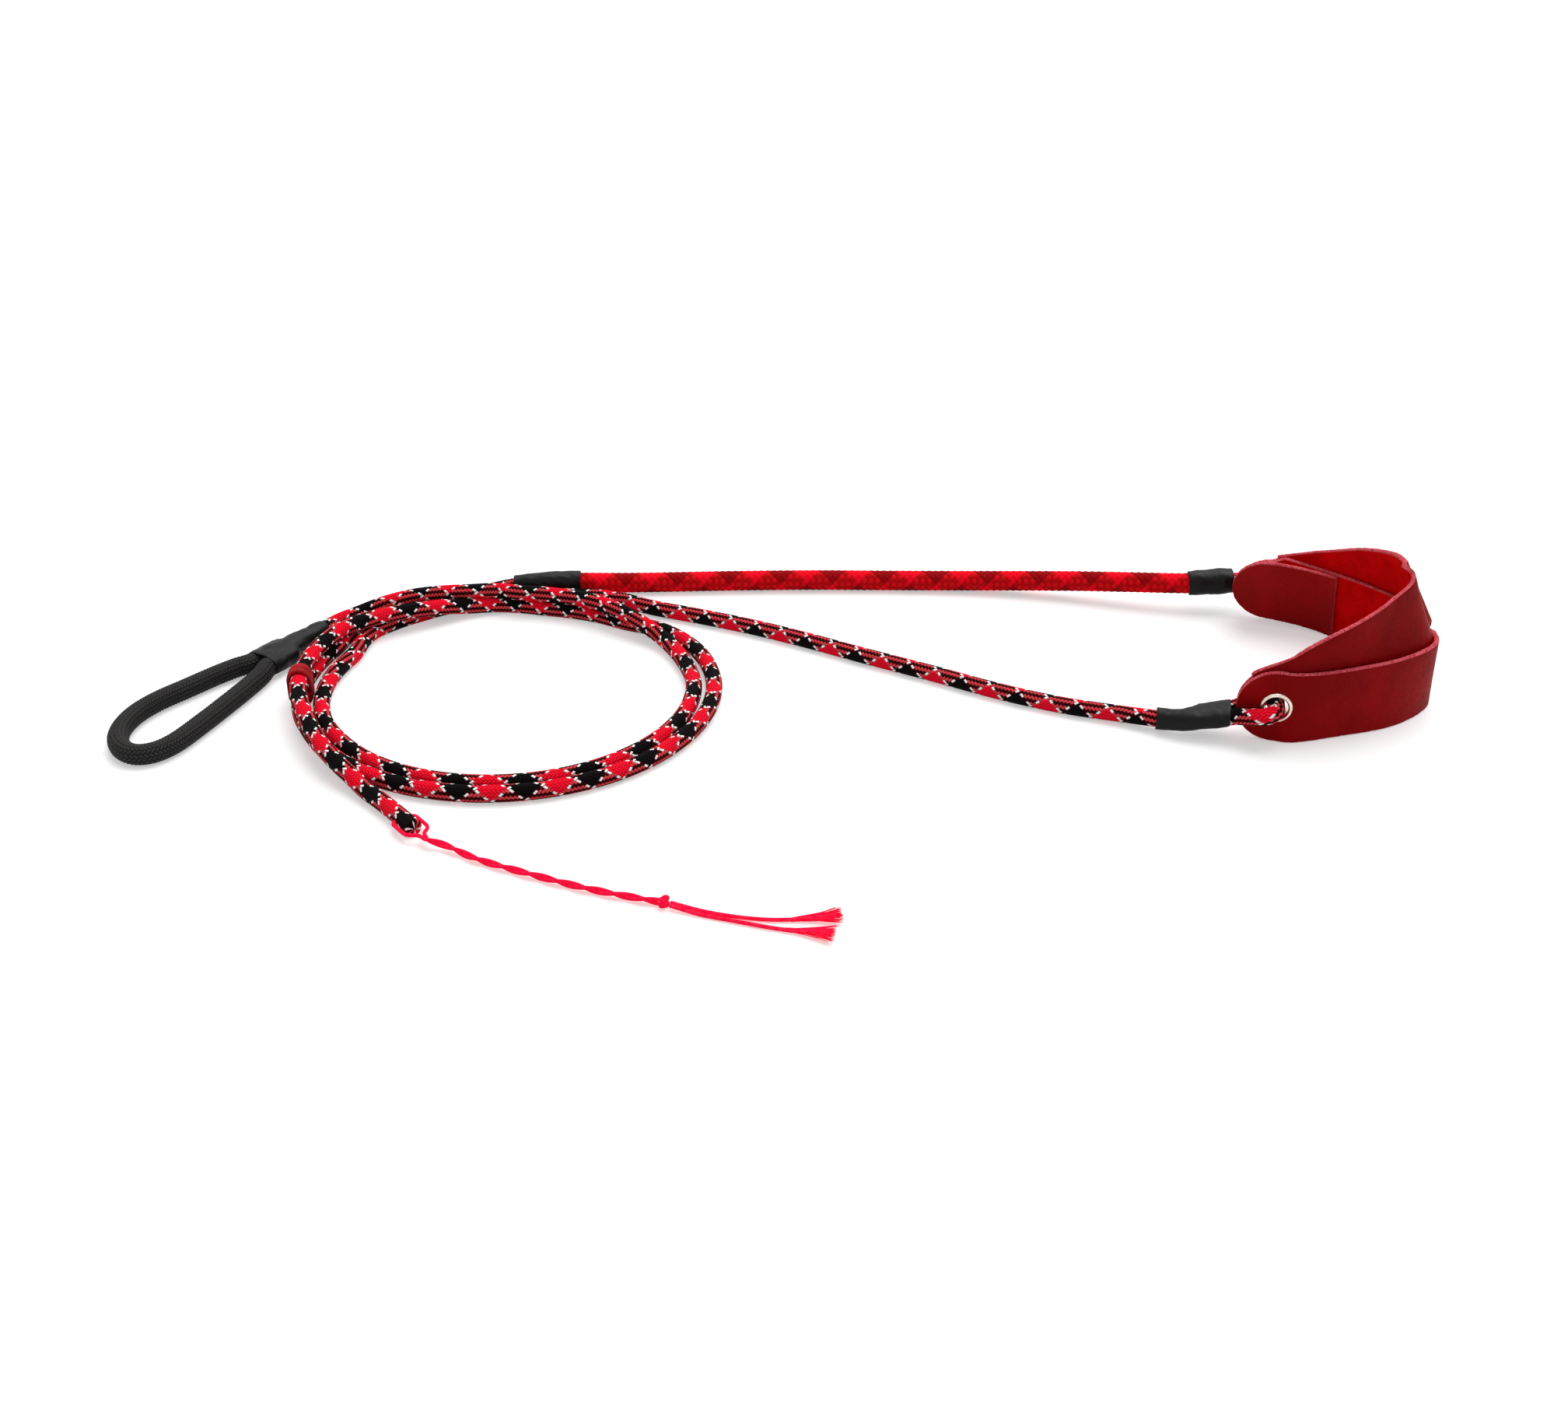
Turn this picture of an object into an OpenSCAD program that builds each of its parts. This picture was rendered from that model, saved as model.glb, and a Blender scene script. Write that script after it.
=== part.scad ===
// Shepherd's sling with a split leather pouch, coiled on a table.
// Two braided arms meet at the pouch: the retention arm ends in a finger loop,
// the release arm ends in a twisted cracker. Millimetres, +Z up, table at Z = 0.
// +X runs from the finger loop to the bend of the pouch.

/* [Arm cords] */
// Diameter of the patterned braided cord of both arms
cord_d = 4; // [3.6:0.1:4.2]
// Wall of the red braided cover that stiffens the retention arm
cover_wall = 0.5; // [0.4:0.1:0.8]
// Slack between the braided cover and the cord inside it
cover_slack = 0.1; // [0.08:0.02:0.2]

/* [Coil] */
// Radius of the inner turn, measured at the middle of the cord
coil_r = 45; // [43:1:50]
// Step from one turn to the turn lying beside it
lane = 4.6; // [4.5:0.1:5]
// Middle of the coil along X
coil_x = -66.3; // [-70:0.1:-64]
// Middle of the coil along Y
coil_y = -4.7; // [-6:0.1:-3]

/* [Pouch] */
// Width of each leather strap
strap_w = 18; // [16:0.5:20]
// Thickness of the leather
leather_t = 1.2; // [1:0.1:1.3]
// Gap between the two straps where they lie on each other
strap_gap = 0.1; // [0.05:0.05:0.2]
// Trim on each side of the straps' far ends, behind the cover tab
far_trim = 1.6; // [1.4:0.1:1.8]
// Width of the cover tab
tab_w = 17.4; // [16.8:0.2:18]

/* [Eyelets] */
// Clear hole of an eyelet
eyelet_id = 5.4; // [5.2:0.1:5.6]
// Wall of the eyelet's barrel
eyelet_wall = 0.3; // [0.2:0.05:0.4]
// Outer diameter of the eyelet's flange
eyelet_od = 8; // [7.6:0.1:9]
// Thickness of the flange and of the washer
flange_t = 0.5; // [0.4:0.05:0.6]

/* [Cord ends at the pouch] */
// Straight half length of the cord inside an eyelet
pin_half = 2.25; // [2.2:0.05:2.4]
// Radius of the bend on each side of an eyelet
bend_r = 2.6; // [2.5:0.1:3]
// Angle at which each leg of the near loop closes in on the arm
near_angle = 12; // [11:0.5:13]
// Angle at which the far cord closes in on the line of the pouch
far_angle = 8; // [7:0.5:9]
// Downward slope of the near loop and its sleeve
near_tilt = 12; // [10:0.5:13]
// Downward slope of the far cord and its sleeve
far_tilt = 5; // [4:0.5:6]
// Diameter of the stopper at the end of the far cord
stopper_d = 7.2; // [6.8:0.1:7.4]
// Thickness of that stopper
stopper_t = 1; // [0.8:0.1:1.2]

/* [Shrink sleeves] */
// Wall of the shrink sleeves
sleeve_wall = 0.45; // [0.35:0.05:0.6]
// Slack between a cord and the bore of a sleeve
sleeve_slack = 0.05; // [0.03:0.01:0.1]
// Length of the tapered sleeve at the end of the red cover
taper_l = 17.8; // [14:0.2:20]
// Length of the sleeve that closes the finger loop
grip_l = 22.5; // [20:0.5:24]

/* [Finger loop] */
// Diameter of the black rope
rope_d = 4.7; // [4.5:0.1:4.9]

/* [Keeper ring] */
// Thickness of the leather lace
lace_t = 1; // [0.8:0.1:1.1]
// Width of one turn of the lace
lace_w = 2.1; // [1.8:0.1:2.4]
// Running gap between the lace and the cords
lace_gap = 0.4; // [0.35:0.05:0.45]
// Place of the ring round the coil, in degrees
lace_at = 185; // [183:1:187]

/* [Cracker] */
// Diameter of one ply of the cracker's thread
ply_d = 0.95; // [0.8:0.05:1]
// Length of one full turn of the twist
twist_pitch = 13; // [11:0.5:16]
// Hole through the tip of the release arm
tip_hole_d = 1.5; // [1.3:0.1:1.7]
// Diameter of the stopper knot
knot_d = 2.5; // [2.2:0.1:2.8]
// Width of a frayed end
tassel_w = 3; // [2.4:0.1:3.4]

/* [Hidden] */
$fn = 32;

cord_r = cord_d / 2;
rope_r = rope_d / 2;
tube_sides = 8;
up = [0, 0, 1];

// The two eyelets, and the hinge line through them.
near_eye = [113.8, -26.3, strap_w / 2];
far_eye = [125.3, 37.5, strap_w / 2];
hinge_az = atan2(far_eye[1] - near_eye[1], far_eye[0] - near_eye[0]);
arm_az = hinge_az + 90;
along = [sin(hinge_az), -cos(hinge_az), 0];
across = [cos(hinge_az), sin(hinge_az), 0];
strap_step = leather_t + strap_gap;
stack_half = (leather_t + strap_step) / 2;

// A cord that lies on the table is pressed flat by a tenth of its diameter.
floor_z = 0.4 * cord_d;
rope_z = 0.4 * rope_d;
module on_table() {
    difference() {
        children();
        translate([-200, -150, -20]) cube([400, 300, 20]);
    }
}

// ---- small helpers ----
function unit(v) = v / norm(v);
function smooth(t) = t * t * (3 - 2 * t);
function ease(t) = smooth(min(1, max(0, t)));

// Point p of a frame at o whose +X points along azimuth az and down by tilt.
function place(o, az, tilt, p) = let(
    x = p[0] * cos(tilt) + p[2] * sin(tilt),
    z = p[2] * cos(tilt) - p[0] * sin(tilt))
    o + [x * cos(az) - p[1] * sin(az), x * sin(az) + p[1] * cos(az), z];
module placed(o, az, tilt) { translate(o) rotate([0, tilt, az]) children(); }

// Catmull-Rom curve through the points p, n steps to each span.
function pick(p, i) = i < 0 ? 2 * p[0] - p[1]
    : i >= len(p) ? 2 * p[len(p) - 1] - p[len(p) - 2] : p[i];
function span_at(a, b, c, d, t) =
    0.5 * (2 * b + (c - a) * t + (2 * a - 5 * b + 4 * c - d) * t * t
        + (3 * b - a - 3 * c + d) * t * t * t);
function curve(p, n) = [
    for (i = [0 : len(p) - 2], k = [0 : n - 1])
        span_at(pick(p, i - 1), p[i], p[i + 1], pick(p, i + 2), k / n),
    p[len(p) - 1]];

// Value between key rows [angle, out, height], by the same curve.
function row(keys, a, i = 0) =
    (i >= len(keys) - 2 || a <= keys[i + 1][0]) ? i : row(keys, a, i + 1);
function key(keys, a) = let(
    i = row(keys, a),
    t = (a - keys[i][0]) / (keys[i + 1][0] - keys[i][0]))
    span_at(pick(keys, i - 1), keys[i], keys[i + 1], pick(keys, i + 2), t);
function coil_point(keys, a) = let(k = key(keys, a), r = coil_r + k[1])
    [coil_x + r * cos(a), coil_y + r * sin(a), k[2]];
// Middle line of a coil, one point each 15 degrees. The points stand out a little, so
// that the straight steps between them lie evenly inside and outside the true turn.
coil_step = 15;
chord_fix = 2 / (1 + cos(coil_step / 2));
function coil_path(keys) = let(
    a0 = keys[1][0],
    n = round((keys[len(keys) - 2][0] - a0) / coil_step))
    [for (i = [0 : n]) let(c = coil_point(keys, a0 + coil_step * i))
        [coil_x + (c[0] - coil_x) * chord_fix, coil_y + (c[1] - coil_y) * chord_fix, c[2]]];
function fine_path(keys) = let(a0 = keys[1][0], a1 = keys[len(keys) - 2][0])
    [for (a = [a0 : 4 : a1]) coil_point(keys, a)];

// Tangents of a path; the first and last may be set.
function tangents(p, first = undef, last = undef) = let(n = len(p)) [
    for (i = [0 : n - 1])
        i == 0 && first != undef ? unit(first)
            : i == n - 1 && last != undef ? unit(last)
            : unit(p[min(n - 1, i + 1)] - p[max(0, i - 1)])];
function ring(c, t, r, sides) = let(s = unit(cross(t, up)), u = cross(s, t)) [
    for (k = [0 : sides - 1]) let(a = 360 * (k + 0.5) / sides)
        c + r * (cos(a) * s + sin(a) * u)];

// Solid of equal rings: sides of triangles and two flat fans.
module skin(rings) {
    n = len(rings);
    m = len(rings[0]);
    points = [for (r = rings, q = r) q];
    sides = [
        for (i = [0 : n - 2], k = [0 : m - 1])
            let(a = i * m + k, b = i * m + (k + 1) % m)
            each [[a, b, b + m], [a, b + m, a + m]]];
    start = [for (k = [1 : m - 2]) [0, k + 1, k]];
    finish = [for (k = [1 : m - 2]) (n - 1) * m * [1, 1, 1] + [0, k, k + 1]];
    polyhedron(points, concat(sides, start, finish));
}
module tube(path, r, sides = tube_sides, first = undef, last = undef) {
    t = tangents(path, first, last);
    skin([for (i = [0 : len(path) - 1]) ring(path[i], t[i], r, sides)]);
}

// Hollow tube: an outer and an inner skin joined by flat end rings.
module hollow_tube(path, r_out, r_in, sides = tube_sides, first = undef, last = undef) {
    t = tangents(path, first, last);
    n = len(path);
    m = sides;
    points = [
        for (r = [r_out, r_in], i = [0 : n - 1]) each ring(path[i], t[i], r, m)];
    inner = n * m;
    faces = [
        for (i = [0 : n - 2], k = [0 : m - 1])
            let(a = i * m + k, b = i * m + (k + 1) % m)
            each [[a, b, b + m], [a, b + m, a + m],
                [inner + a, inner + b + m, inner + b],
                [inner + a, inner + a + m, inner + b + m]],
        for (k = [0 : m - 1])
            let(b = (k + 1) % m, e = (n - 1) * m)
            each [[k, inner + b, b], [k, inner + k, inner + b],
                [e + k, e + b, inner + e + b], [e + k, inner + e + b, inner + e + k]]];
    polyhedron(points, faces);
}

// Shrink sleeve along +X: rows of [x, middle y, half width, half height].
sleeve_sides = 20;
function signed_power(v, p) = sign(v) * pow(abs(v), p);
module sleeve_body(rows) {
    skin([for (r = rows) [
        for (k = [0 : sleeve_sides - 1]) let(a = -360 * (k + 0.5) / sleeve_sides)
            [r[0], r[1] + r[2] * signed_power(cos(a), 0.8),
                r[3] * signed_power(sin(a), 0.8)]]]);
}

// ---- cord ends at the pouch, and their sleeves ----
// In this frame the eyelet's axis is Y and +X leads away from the pouch. The near cord
// goes through its eyelet and comes back beside itself. The far cord ends in a stopper.
leg_x = bend_r * (1 + sin(near_angle));
leg_y = pin_half + bend_r * cos(near_angle);
apex_x = leg_x + leg_y / tan(near_angle);
mouth_x = strap_w / 2 + 0.9;
function leg_at(x) = leg_y - (x - leg_x) * tan(near_angle);
// The short leg stops where it would touch the long one.
short_x = apex_x - (cord_r + 0.05) / sin(near_angle);
// Quarter turn out of an eyelet, from the pin to the leg.
elbow_steps = 5;
function elbow(side, angle) = [
    for (i = [0 : elbow_steps]) let(a = 180 - (90 + angle) * i / elbow_steps)
        [bend_r + bend_r * cos(a), side * (pin_half + bend_r * sin(a)), 0]];
function reversed(p) = [for (i = [len(p) - 1 : -1 : 0]) p[i]];
module leg(side, angle, end_x, d) {
    x = bend_r * (1 + sin(angle));
    y = pin_half + bend_r * cos(angle);
    translate([x, side * y, 0]) rotate([0, 90, -side * angle])
        cylinder(d = d, h = (end_x - x) / cos(angle));
}
function near_at(x) = place(near_eye, arm_az, near_tilt, [x, leg_at(x), 0]);
near_dir = place([0, 0, 0], arm_az, near_tilt, [cos(near_angle), -sin(near_angle), 0]);
module near_loop() {
    color("firebrick") placed(near_eye, arm_az, near_tilt) tube(
        concat([[apex_x, 0, 0]], reversed(elbow(1, near_angle)), elbow(-1, near_angle),
            [[short_x, -leg_at(short_x), 0]]),
        cord_r, 12, [-cos(near_angle), sin(near_angle), 0],
        [cos(near_angle), sin(near_angle), 0]);
}
module near_sleeve() {
    wide = cord_r + sleeve_wall + 0.1;
    end_r = cord_r + sleeve_wall;
    bore_d = cord_d + 2 * sleeve_slack;
    color("dimgray") placed(near_eye, arm_az, near_tilt) difference() {
        sleeve_body([
            [mouth_x, 0, leg_at(mouth_x) + wide, cord_r + 0.6],
            [mouth_x + 3, 0, leg_at(mouth_x + 3) + wide, cord_r + 0.8],
            [short_x, 0, leg_at(short_x) + wide, cord_r + 0.75],
            [short_x + 2.2, leg_at(short_x + 2.2) / 2, 3.8, cord_r + 0.65],
            [short_x + 4.5, leg_at(short_x + 4.5), end_r + 0.25, end_r + 0.15],
            [apex_x - 2.5, leg_at(apex_x - 2.5), end_r + 0.1, end_r + 0.05],
            [apex_x, 0, end_r, end_r]]);
        leg(1, near_angle, apex_x + 2, bore_d);
        leg(-1, near_angle, short_x + 0.3, bore_d);
    }
}

far_leg_x = bend_r * (1 + sin(far_angle));
far_leg_y = pin_half + bend_r * cos(far_angle);
far_mouth = strap_w / 2 - far_trim + 0.9;
// The stopper stands clear of the eyelet's rolled lip.
far_pin = pin_half + 0.32;
far_sleeve_end = far_mouth + 11.6;
far_cover_x = far_mouth + 2.5;
function far_leg_at(x) = far_leg_y - (x - far_leg_x) * tan(far_angle);
function far_at(x) = place(far_eye, arm_az, far_tilt, [x, -far_leg_at(x), 0]);
far_dir = place([0, 0, 0], arm_az, far_tilt, [cos(far_angle), sin(far_angle), 0]);
module far_stopper() {
    color("firebrick") placed(far_eye, arm_az, far_tilt) {
        tube(concat([[0, far_pin + stopper_t / 2, 0]], elbow(-1, far_angle),
            [[far_cover_x, -far_leg_at(far_cover_x), 0]]),
            cord_r, 12, [0, -1, 0], [cos(far_angle), sin(far_angle), 0]);
        translate([0, far_pin, 0]) rotate([-90, 0, 0]) rotate_extrude() {
            square([stopper_d / 2 - stopper_t / 2, stopper_t]);
            translate([stopper_d / 2 - stopper_t / 2, stopper_t / 2]) circle(d = stopper_t);
        }
    }
}
module far_sleeve() {
    end_r = cover_r + sleeve_wall;
    span = far_sleeve_end - far_mouth;
    color("dimgray") translate(far_at(far_mouth)) rotate([0, 90 + far_tilt, arm_az + far_angle])
        difference() {
            rotate_extrude() polygon([
                [0, 0], [end_r - 0.1, 0], [end_r, 0.4], [end_r + 0.3, 3.4],
                [end_r + 0.1, 6.4], [end_r + 0.25, 9], [end_r, span], [0, span]]);
            translate([0, 0, -1]) cylinder(r = cord_r + sleeve_slack, h = span + 2);
            translate([0, 0, (far_cover_x - far_mouth) / cos(far_angle) - 0.1])
                cylinder(r = cover_r + sleeve_slack, h = span);
        }
}

// ---- retention arm ----
cover_r = cord_r + cover_slack + cover_wall;
taper_at = [-54.5, 52.9, cover_r + sleeve_wall];
taper_az = 183;
taper_dir = [cos(taper_az), sin(taper_az), 0];
cover_grip = 7;
run_points = [
    far_at(far_cover_x), far_at(far_sleeve_end),
    [93, 46.1, 6.3], [80, 49.3, 5.1], [66, 52.1, 3.9], [50, 54.1, 3],
    [30, 55.1, cover_r], [8, 55.4, cover_r], [-14, 54.9, cover_r],
    [-36, 53.9, cover_r], [-47, 53.3, cover_r + 0.2],
    taper_at, taper_at + taper_dir * cover_grip];
module retention_run() {
    color("firebrick") tube(concat(curve(run_points, 3), [retention_path[0]]), cord_r,
        first = far_dir, last = coil_in_dir);
}
module red_cover() {
    color("red") hollow_tube(curve(run_points, 3), cover_r, cord_r + cover_slack,
        first = far_dir, last = taper_dir);
}

// Rows [angle, step outwards, height]; the first and last row only steer the ends.
lift_z = cord_r + lace_t + lace_gap;
stack_z = lift_z + cord_d + 0.5;
lace_lane = lane + 0.9;
retention_keys = [
    [86, 13.4, 3.2], [94, 11.9, 3], [106, 9.9, 2.3], [116, 9.1, floor_z],
    [128, 8.4, floor_z], [136, 7.6, floor_z + 0.2], [144, 6.6, floor_z + 0.9],
    [152, lace_lane + 0.1, lift_z], [160, lace_lane, lift_z], [180, lace_lane, lift_z],
    [200, lace_lane, lift_z], [212, lane + 0.5, floor_z + 0.8], [224, lane, floor_z],
    [250, lane, floor_z], [300, lane, floor_z], [360, lane, floor_z],
    [408, lane, floor_z], [424, lane, floor_z + 0.2], [432, 4.3, 3.6],
    [440, 3.6, 5.2], [448, 2.9, 6], [456, 2.5, 6.2], [464, 2.9, 6.3],
    [472, 5.2, 6.8], [480, 8, 6.9], [488, 11.2, 6], [494, 13.5, 4.4],
    [499, 15.3, 3], [505, 17.4, 2.4]];
retention_path = coil_path(retention_keys);
lead_n = len(retention_path) - 1;
lead_dir = unit(retention_path[lead_n] - retention_path[lead_n - 1]);
coil_in_dir = unit(retention_path[1] - retention_path[0]);
grip_z = rope_r + sleeve_wall;
grip_mouth = [-129.2, 6, grip_z];
grip_end = [-117.9, 25.4, grip_z];
grip_az = atan2(grip_end[1] - grip_mouth[1], grip_end[0] - grip_mouth[0]);
grip_dir = [cos(grip_az), sin(grip_az), 0];
grip_cord = 9;
lead_points = [
    retention_path[lead_n], [-114.9, 30.1, 2.6], grip_end,
    grip_end - grip_dir * grip_cord];
module retention_coil() {
    color("firebrick") on_table()
        tube(retention_path, cord_r, first = coil_in_dir, last = lead_dir);
}
module retention_lead() {
    color("firebrick") tube(curve(lead_points, 4), cord_r, first = lead_dir, last = -grip_dir);
}
module taper_sleeve() {
    back_r = cover_r + sleeve_wall;
    tip_r = cord_r + sleeve_wall;
    color("dimgray") difference() {
        translate(taper_at) rotate([0, 90, taper_az]) rotate_extrude() polygon([
            [0, 0], [back_r, 0], [back_r, cover_grip], [back_r - 0.15, cover_grip + 3],
            [tip_r, taper_l - 2], [tip_r - 0.1, taper_l], [0, taper_l]]);
        translate(taper_at - taper_dir) rotate([0, 90, taper_az])
            cylinder(r = cover_r + sleeve_slack, h = cover_grip + 1);
        translate(taper_at) rotate([0, 90, taper_az])
            cylinder(r = cord_r + sleeve_slack, h = taper_l + 1);
    }
}

// ---- finger loop ----
loop_legs = rope_r + 0.1;
function grip_at(x, y) = place(grip_mouth, grip_az, 0, [x, y, 0]);
grip_rope = 8;
loop_points = [
    grip_at(grip_rope, loop_legs), grip_at(0, loop_legs), [-135.2, 4.7, rope_z + 0.2],
    [-139.4, 0.7, rope_z], [-144.4, -5.5, rope_z], [-150, -12.5, rope_z],
    [-153.5, -19.5, rope_z], [-154.5, -26.8, rope_z], [-152.8, -33.2, rope_z],
    [-148.9, -37.2, rope_z], [-144.3, -36.8, rope_z], [-140.2, -32.1, rope_z],
    [-136.2, -22.5, rope_z], [-132.5, -12.5, rope_z],
    [-129.6, -4.1, rope_z], [-128, 0.7, rope_z + 0.2],
    grip_at(0, -loop_legs), grip_at(grip_rope, -loop_legs)];
module finger_loop() {
    color("black") on_table() tube(curve(loop_points, 3), rope_r, 10,
        first = -grip_dir, last = grip_dir);
}
module loop_sleeve() {
    wall = sleeve_wall;
    wide = 2 * rope_r + 0.1 + wall;
    color("dimgray") difference() {
        placed(grip_mouth, grip_az, 0) sleeve_body([
            [0, 0, wide, rope_r + wall], [grip_rope, 0, wide - 0.2, rope_r + wall],
            [grip_rope + 2, 0, wide - 1.6, rope_r + wall],
            [grip_rope + 4.5, 0, cord_r + wall + 0.7, cord_r + wall + 0.3],
            [grip_rope + 6.5, 0, cord_r + wall + 0.25, cord_r + wall + 0.2],
            [grip_l, 0, cord_r + wall, cord_r + wall]]);
        for (s = [-1, 1]) placed(grip_mouth, grip_az, 0) translate([-1, s * loop_legs, 0])
            rotate([0, 90, 0]) cylinder(r = rope_r + sleeve_slack, h = grip_rope + 1.2);
        placed(grip_end, grip_az, 0) translate([-grip_cord - 0.2, 0, 0])
            rotate([0, 90, 0]) cylinder(r = cord_r + sleeve_slack, h = grip_cord + 5);
    }
}

// ---- release arm ----
release_keys = [
    [52, 13.5, floor_z], [64, 9.5, floor_z], [72, 8.7, floor_z], [80, 7.4, floor_z],
    [88, 5.9, floor_z], [96, lane + 0.2, floor_z], [104, lane, floor_z],
    [112, 4.3, floor_z], [120, 3.6, floor_z], [128, 2.4, floor_z], [136, 1.1, floor_z],
    [144, 0.3, floor_z], [154, 0, floor_z], [200, 0, floor_z], [300, 0, floor_z],
    [400, 0, floor_z], [460, 0, floor_z], [470, -0.5, 2.5], [478, -1, 4],
    [486, -0.4, 5.8], [494, 1.2, 7], [502, 3.3, 7.5], [510, 4.9, stack_z - 0.05],
    [518, lace_lane, stack_z], [540, lace_lane, stack_z], [561, lace_lane, stack_z],
    [572, lace_lane + 0.3, stack_z - 0.3], [581, 6.4, 6.7], [589, 7.5, 5.6],
    [597, 9.2, 4.4]];
release_path = coil_path(release_keys);
tail_n = len(release_path) - 1;
run_end_dir = unit(release_path[1] - release_path[0]);
tail_dir = unit(release_path[tail_n] - release_path[tail_n - 1]);
release_points = [
    near_at(apex_x),
    [78, -17.7, 2], [66, -13.3, floor_z], [52, -6.5, floor_z], [36, 3.1, floor_z],
    [20, 12.3, floor_z], [6, 20.7, floor_z], [-8, 28.3, floor_z], [-22, 34.6, floor_z],
    [-34, 39.5, floor_z], release_path[0]];
module release_run() {
    color("firebrick") on_table() tube(curve(release_points, 3), cord_r,
        first = near_dir, last = run_end_dir);
}
module release_coil() {
    color("firebrick") on_table()
        tube(release_path, cord_r, first = run_end_dir, last = tail_dir);
}

// ---- tip of the release arm and the cracker's loop ----
tip_az = -51.5;
tip_dir = [cos(tip_az), sin(tip_az), 0];
tip_end = [-79.4, -68.1, floor_z];
hole_back = 4.6;
tip_eye = tip_end - tip_dir * hole_back;
tail_points = [
    release_path[tail_n], [-96.6, -48.7, 3.9], [-92.6, -52.5, 2.9],
    [-88.6, -56.9, 1.9], tip_end - tip_dir * 7, tip_end];
module release_tail() {
    color("firebrick") on_table() difference() {
        tube(curve(tail_points, 3), cord_r, first = tail_dir, last = tip_dir);
        translate(tip_eye) rotate([90, 0, tip_az])
            cylinder(d = tip_hole_d, h = 2 * cord_d, center = true);
        translate(tip_end - tip_dir * 1.2) rotate([0, 90, tip_az])
            cylinder(r = cord_r * 0.55, h = 3);
    }
}

// Frame of the cracker's hinge: origin in the tip's hole, +X away from the tip.
ply_r = ply_d / 2;
ply_off = ply_r + 0.03;
tie_y = cord_r + 0.35 + ply_r;
tie_bend = 1;
tie_x = hole_back + 0.5;
close_angle = 60;
close_r = (tie_y - ply_off) / (2 * (1 - cos(close_angle)));
tie_end = tie_x + 2 * close_r * sin(close_angle);
function arc(x, y, r, a0, a1, n) = [
    for (i = [0 : n]) let(a = a0 + (a1 - a0) * i / n) [x + r * cos(a), y + r * sin(a), 0]];
tie_side = concat(
    arc(tie_bend, tie_y - tie_bend, tie_bend, 180, 90, 3),
    arc(tie_x, tie_y - close_r, close_r, 90, 90 - close_angle, 3),
    arc(tie_end, ply_off + close_r, close_r, -90 - close_angle, -90, 3));
function mirrored(p) = [for (q = p) [q[0], -q[1], q[2]]];
module cracker_loop() {
    color("crimson") placed(tip_eye, tip_az, 0) tube(
        concat(reversed(tie_side), mirrored(tie_side)), ply_r, 8, [-1, 0, 0], [1, 0, 0]);
}

// ---- cracker: two plies twisted together, a knot and two frayed ends ----
twist_z = ply_d + 0.05;
twist_start = place(tip_eye, tip_az, 0, [tie_end, 0, 0]);
knot_at = [-24.3, -94.9, knot_d / 2];
twist_points = [
    twist_start, twist_start + tip_dir * 1.5, [-71.6, -74.1, 1.3],
    [-64.2, -78.9, twist_z], [-53, -84.3, twist_z], [-39.4, -90.1, twist_z],
    knot_at + [-1, 0.32, 0] * knot_d / 2 + [0, 0, twist_z - knot_d / 2]];
twist_steps = 9;
twist_line = curve(twist_points, twist_steps);
function run_length(p, i) = i == 0 ? 0 : run_length(p, i - 1) + norm(p[i] - p[i - 1]);
twist_at = [for (i = [0 : len(twist_line) - 1]) run_length(twist_line, i)];
// Ply number s: a helix round the middle line that starts level.
function ply_path(s) = let(t = tangents(twist_line, first = tip_dir)) [
    for (i = [0 : len(twist_line) - 1])
        let(side = unit(cross(up, t[i])), top = cross(t[i], side),
            a = 360 * twist_at[i] / twist_pitch + 180 * s)
        twist_line[i] + ply_off * (cos(a) * side + sin(a) * top)];
module cracker_twist() {
    color("crimson") for (s = [0, 1]) tube(ply_path(s), ply_r, 6, first = tip_dir);
}
module cracker_knot() {
    color("crimson") translate(knot_at) rotate([0, 0, -15]) {
        rotate([0, 90, 0]) rotate_extrude() translate([knot_d * 0.28, 0])
            circle(d = knot_d * 0.44);
        translate([0.4, 0, 0]) sphere(d = knot_d * 0.8);
    }
}
end_points = [
    [[-22.8, -94.9, twist_z], [-16.5, -97.1, ply_r + 0.1], [-10.2, -99, ply_r + 0.1],
        [-3.6, -100.1, ply_r + 0.1], [3, -100.1, ply_r + 0.1]],
    [[-22.9, -96, twist_z], [-17, -98.3, ply_r + 0.1], [-10.6, -100.4, ply_r + 0.1],
        [-4, -102.5, ply_r + 0.1], [1.6, -104, ply_r + 0.1]]];
tassel_l = 8.5;
module tassel(p, az) {
    color("crimson") {
        tube(curve(p, 3), ply_r, 6);
        translate(p[len(p) - 1] - [0, 0, ply_r]) rotate([0, 0, az]) linear_extrude(1.3)
            polygon([[-0.3, -ply_r], [tassel_l * 0.4, -tassel_w * 0.3],
                [tassel_l, -tassel_w / 2], [tassel_l, tassel_w / 2],
                [tassel_l * 0.4, tassel_w * 0.3], [-0.3, ply_r]]);
    }
}

// ---- keeper ring: a leather lace wound twice round the two stacked cords ----
module slot_shape(r) {
    for (z = [lift_z, stack_z]) translate([coil_r + lace_lane, z]) circle(r = r);
    translate([coil_r + lace_lane - r, lift_z]) square([2 * r, stack_z - lift_z]);
}
module lace_turn(start, width, inner, outer) {
    turn = width / (coil_r + lace_lane) * 180 / PI;
    translate([coil_x, coil_y, 0]) rotate([0, 0, start - turn / 2])
        rotate_extrude(angle = turn, $fn = 96) difference() {
            slot_shape(cord_r + lace_gap + outer);
            slot_shape(cord_r + lace_gap + inner);
        }
}
lace_step = lace_w * 0.5 / (coil_r + lace_lane) * 180 / PI;
module keeper_ring() {
    color("darkred") {
        lace_turn(lace_at, 2 * lace_w - 0.5, lace_t * 0.2, lace_t * 0.7);
        for (s = [-1, 1]) lace_turn(lace_at + s * lace_step, lace_w * 0.72, 0, lace_t);
    }
}

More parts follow.
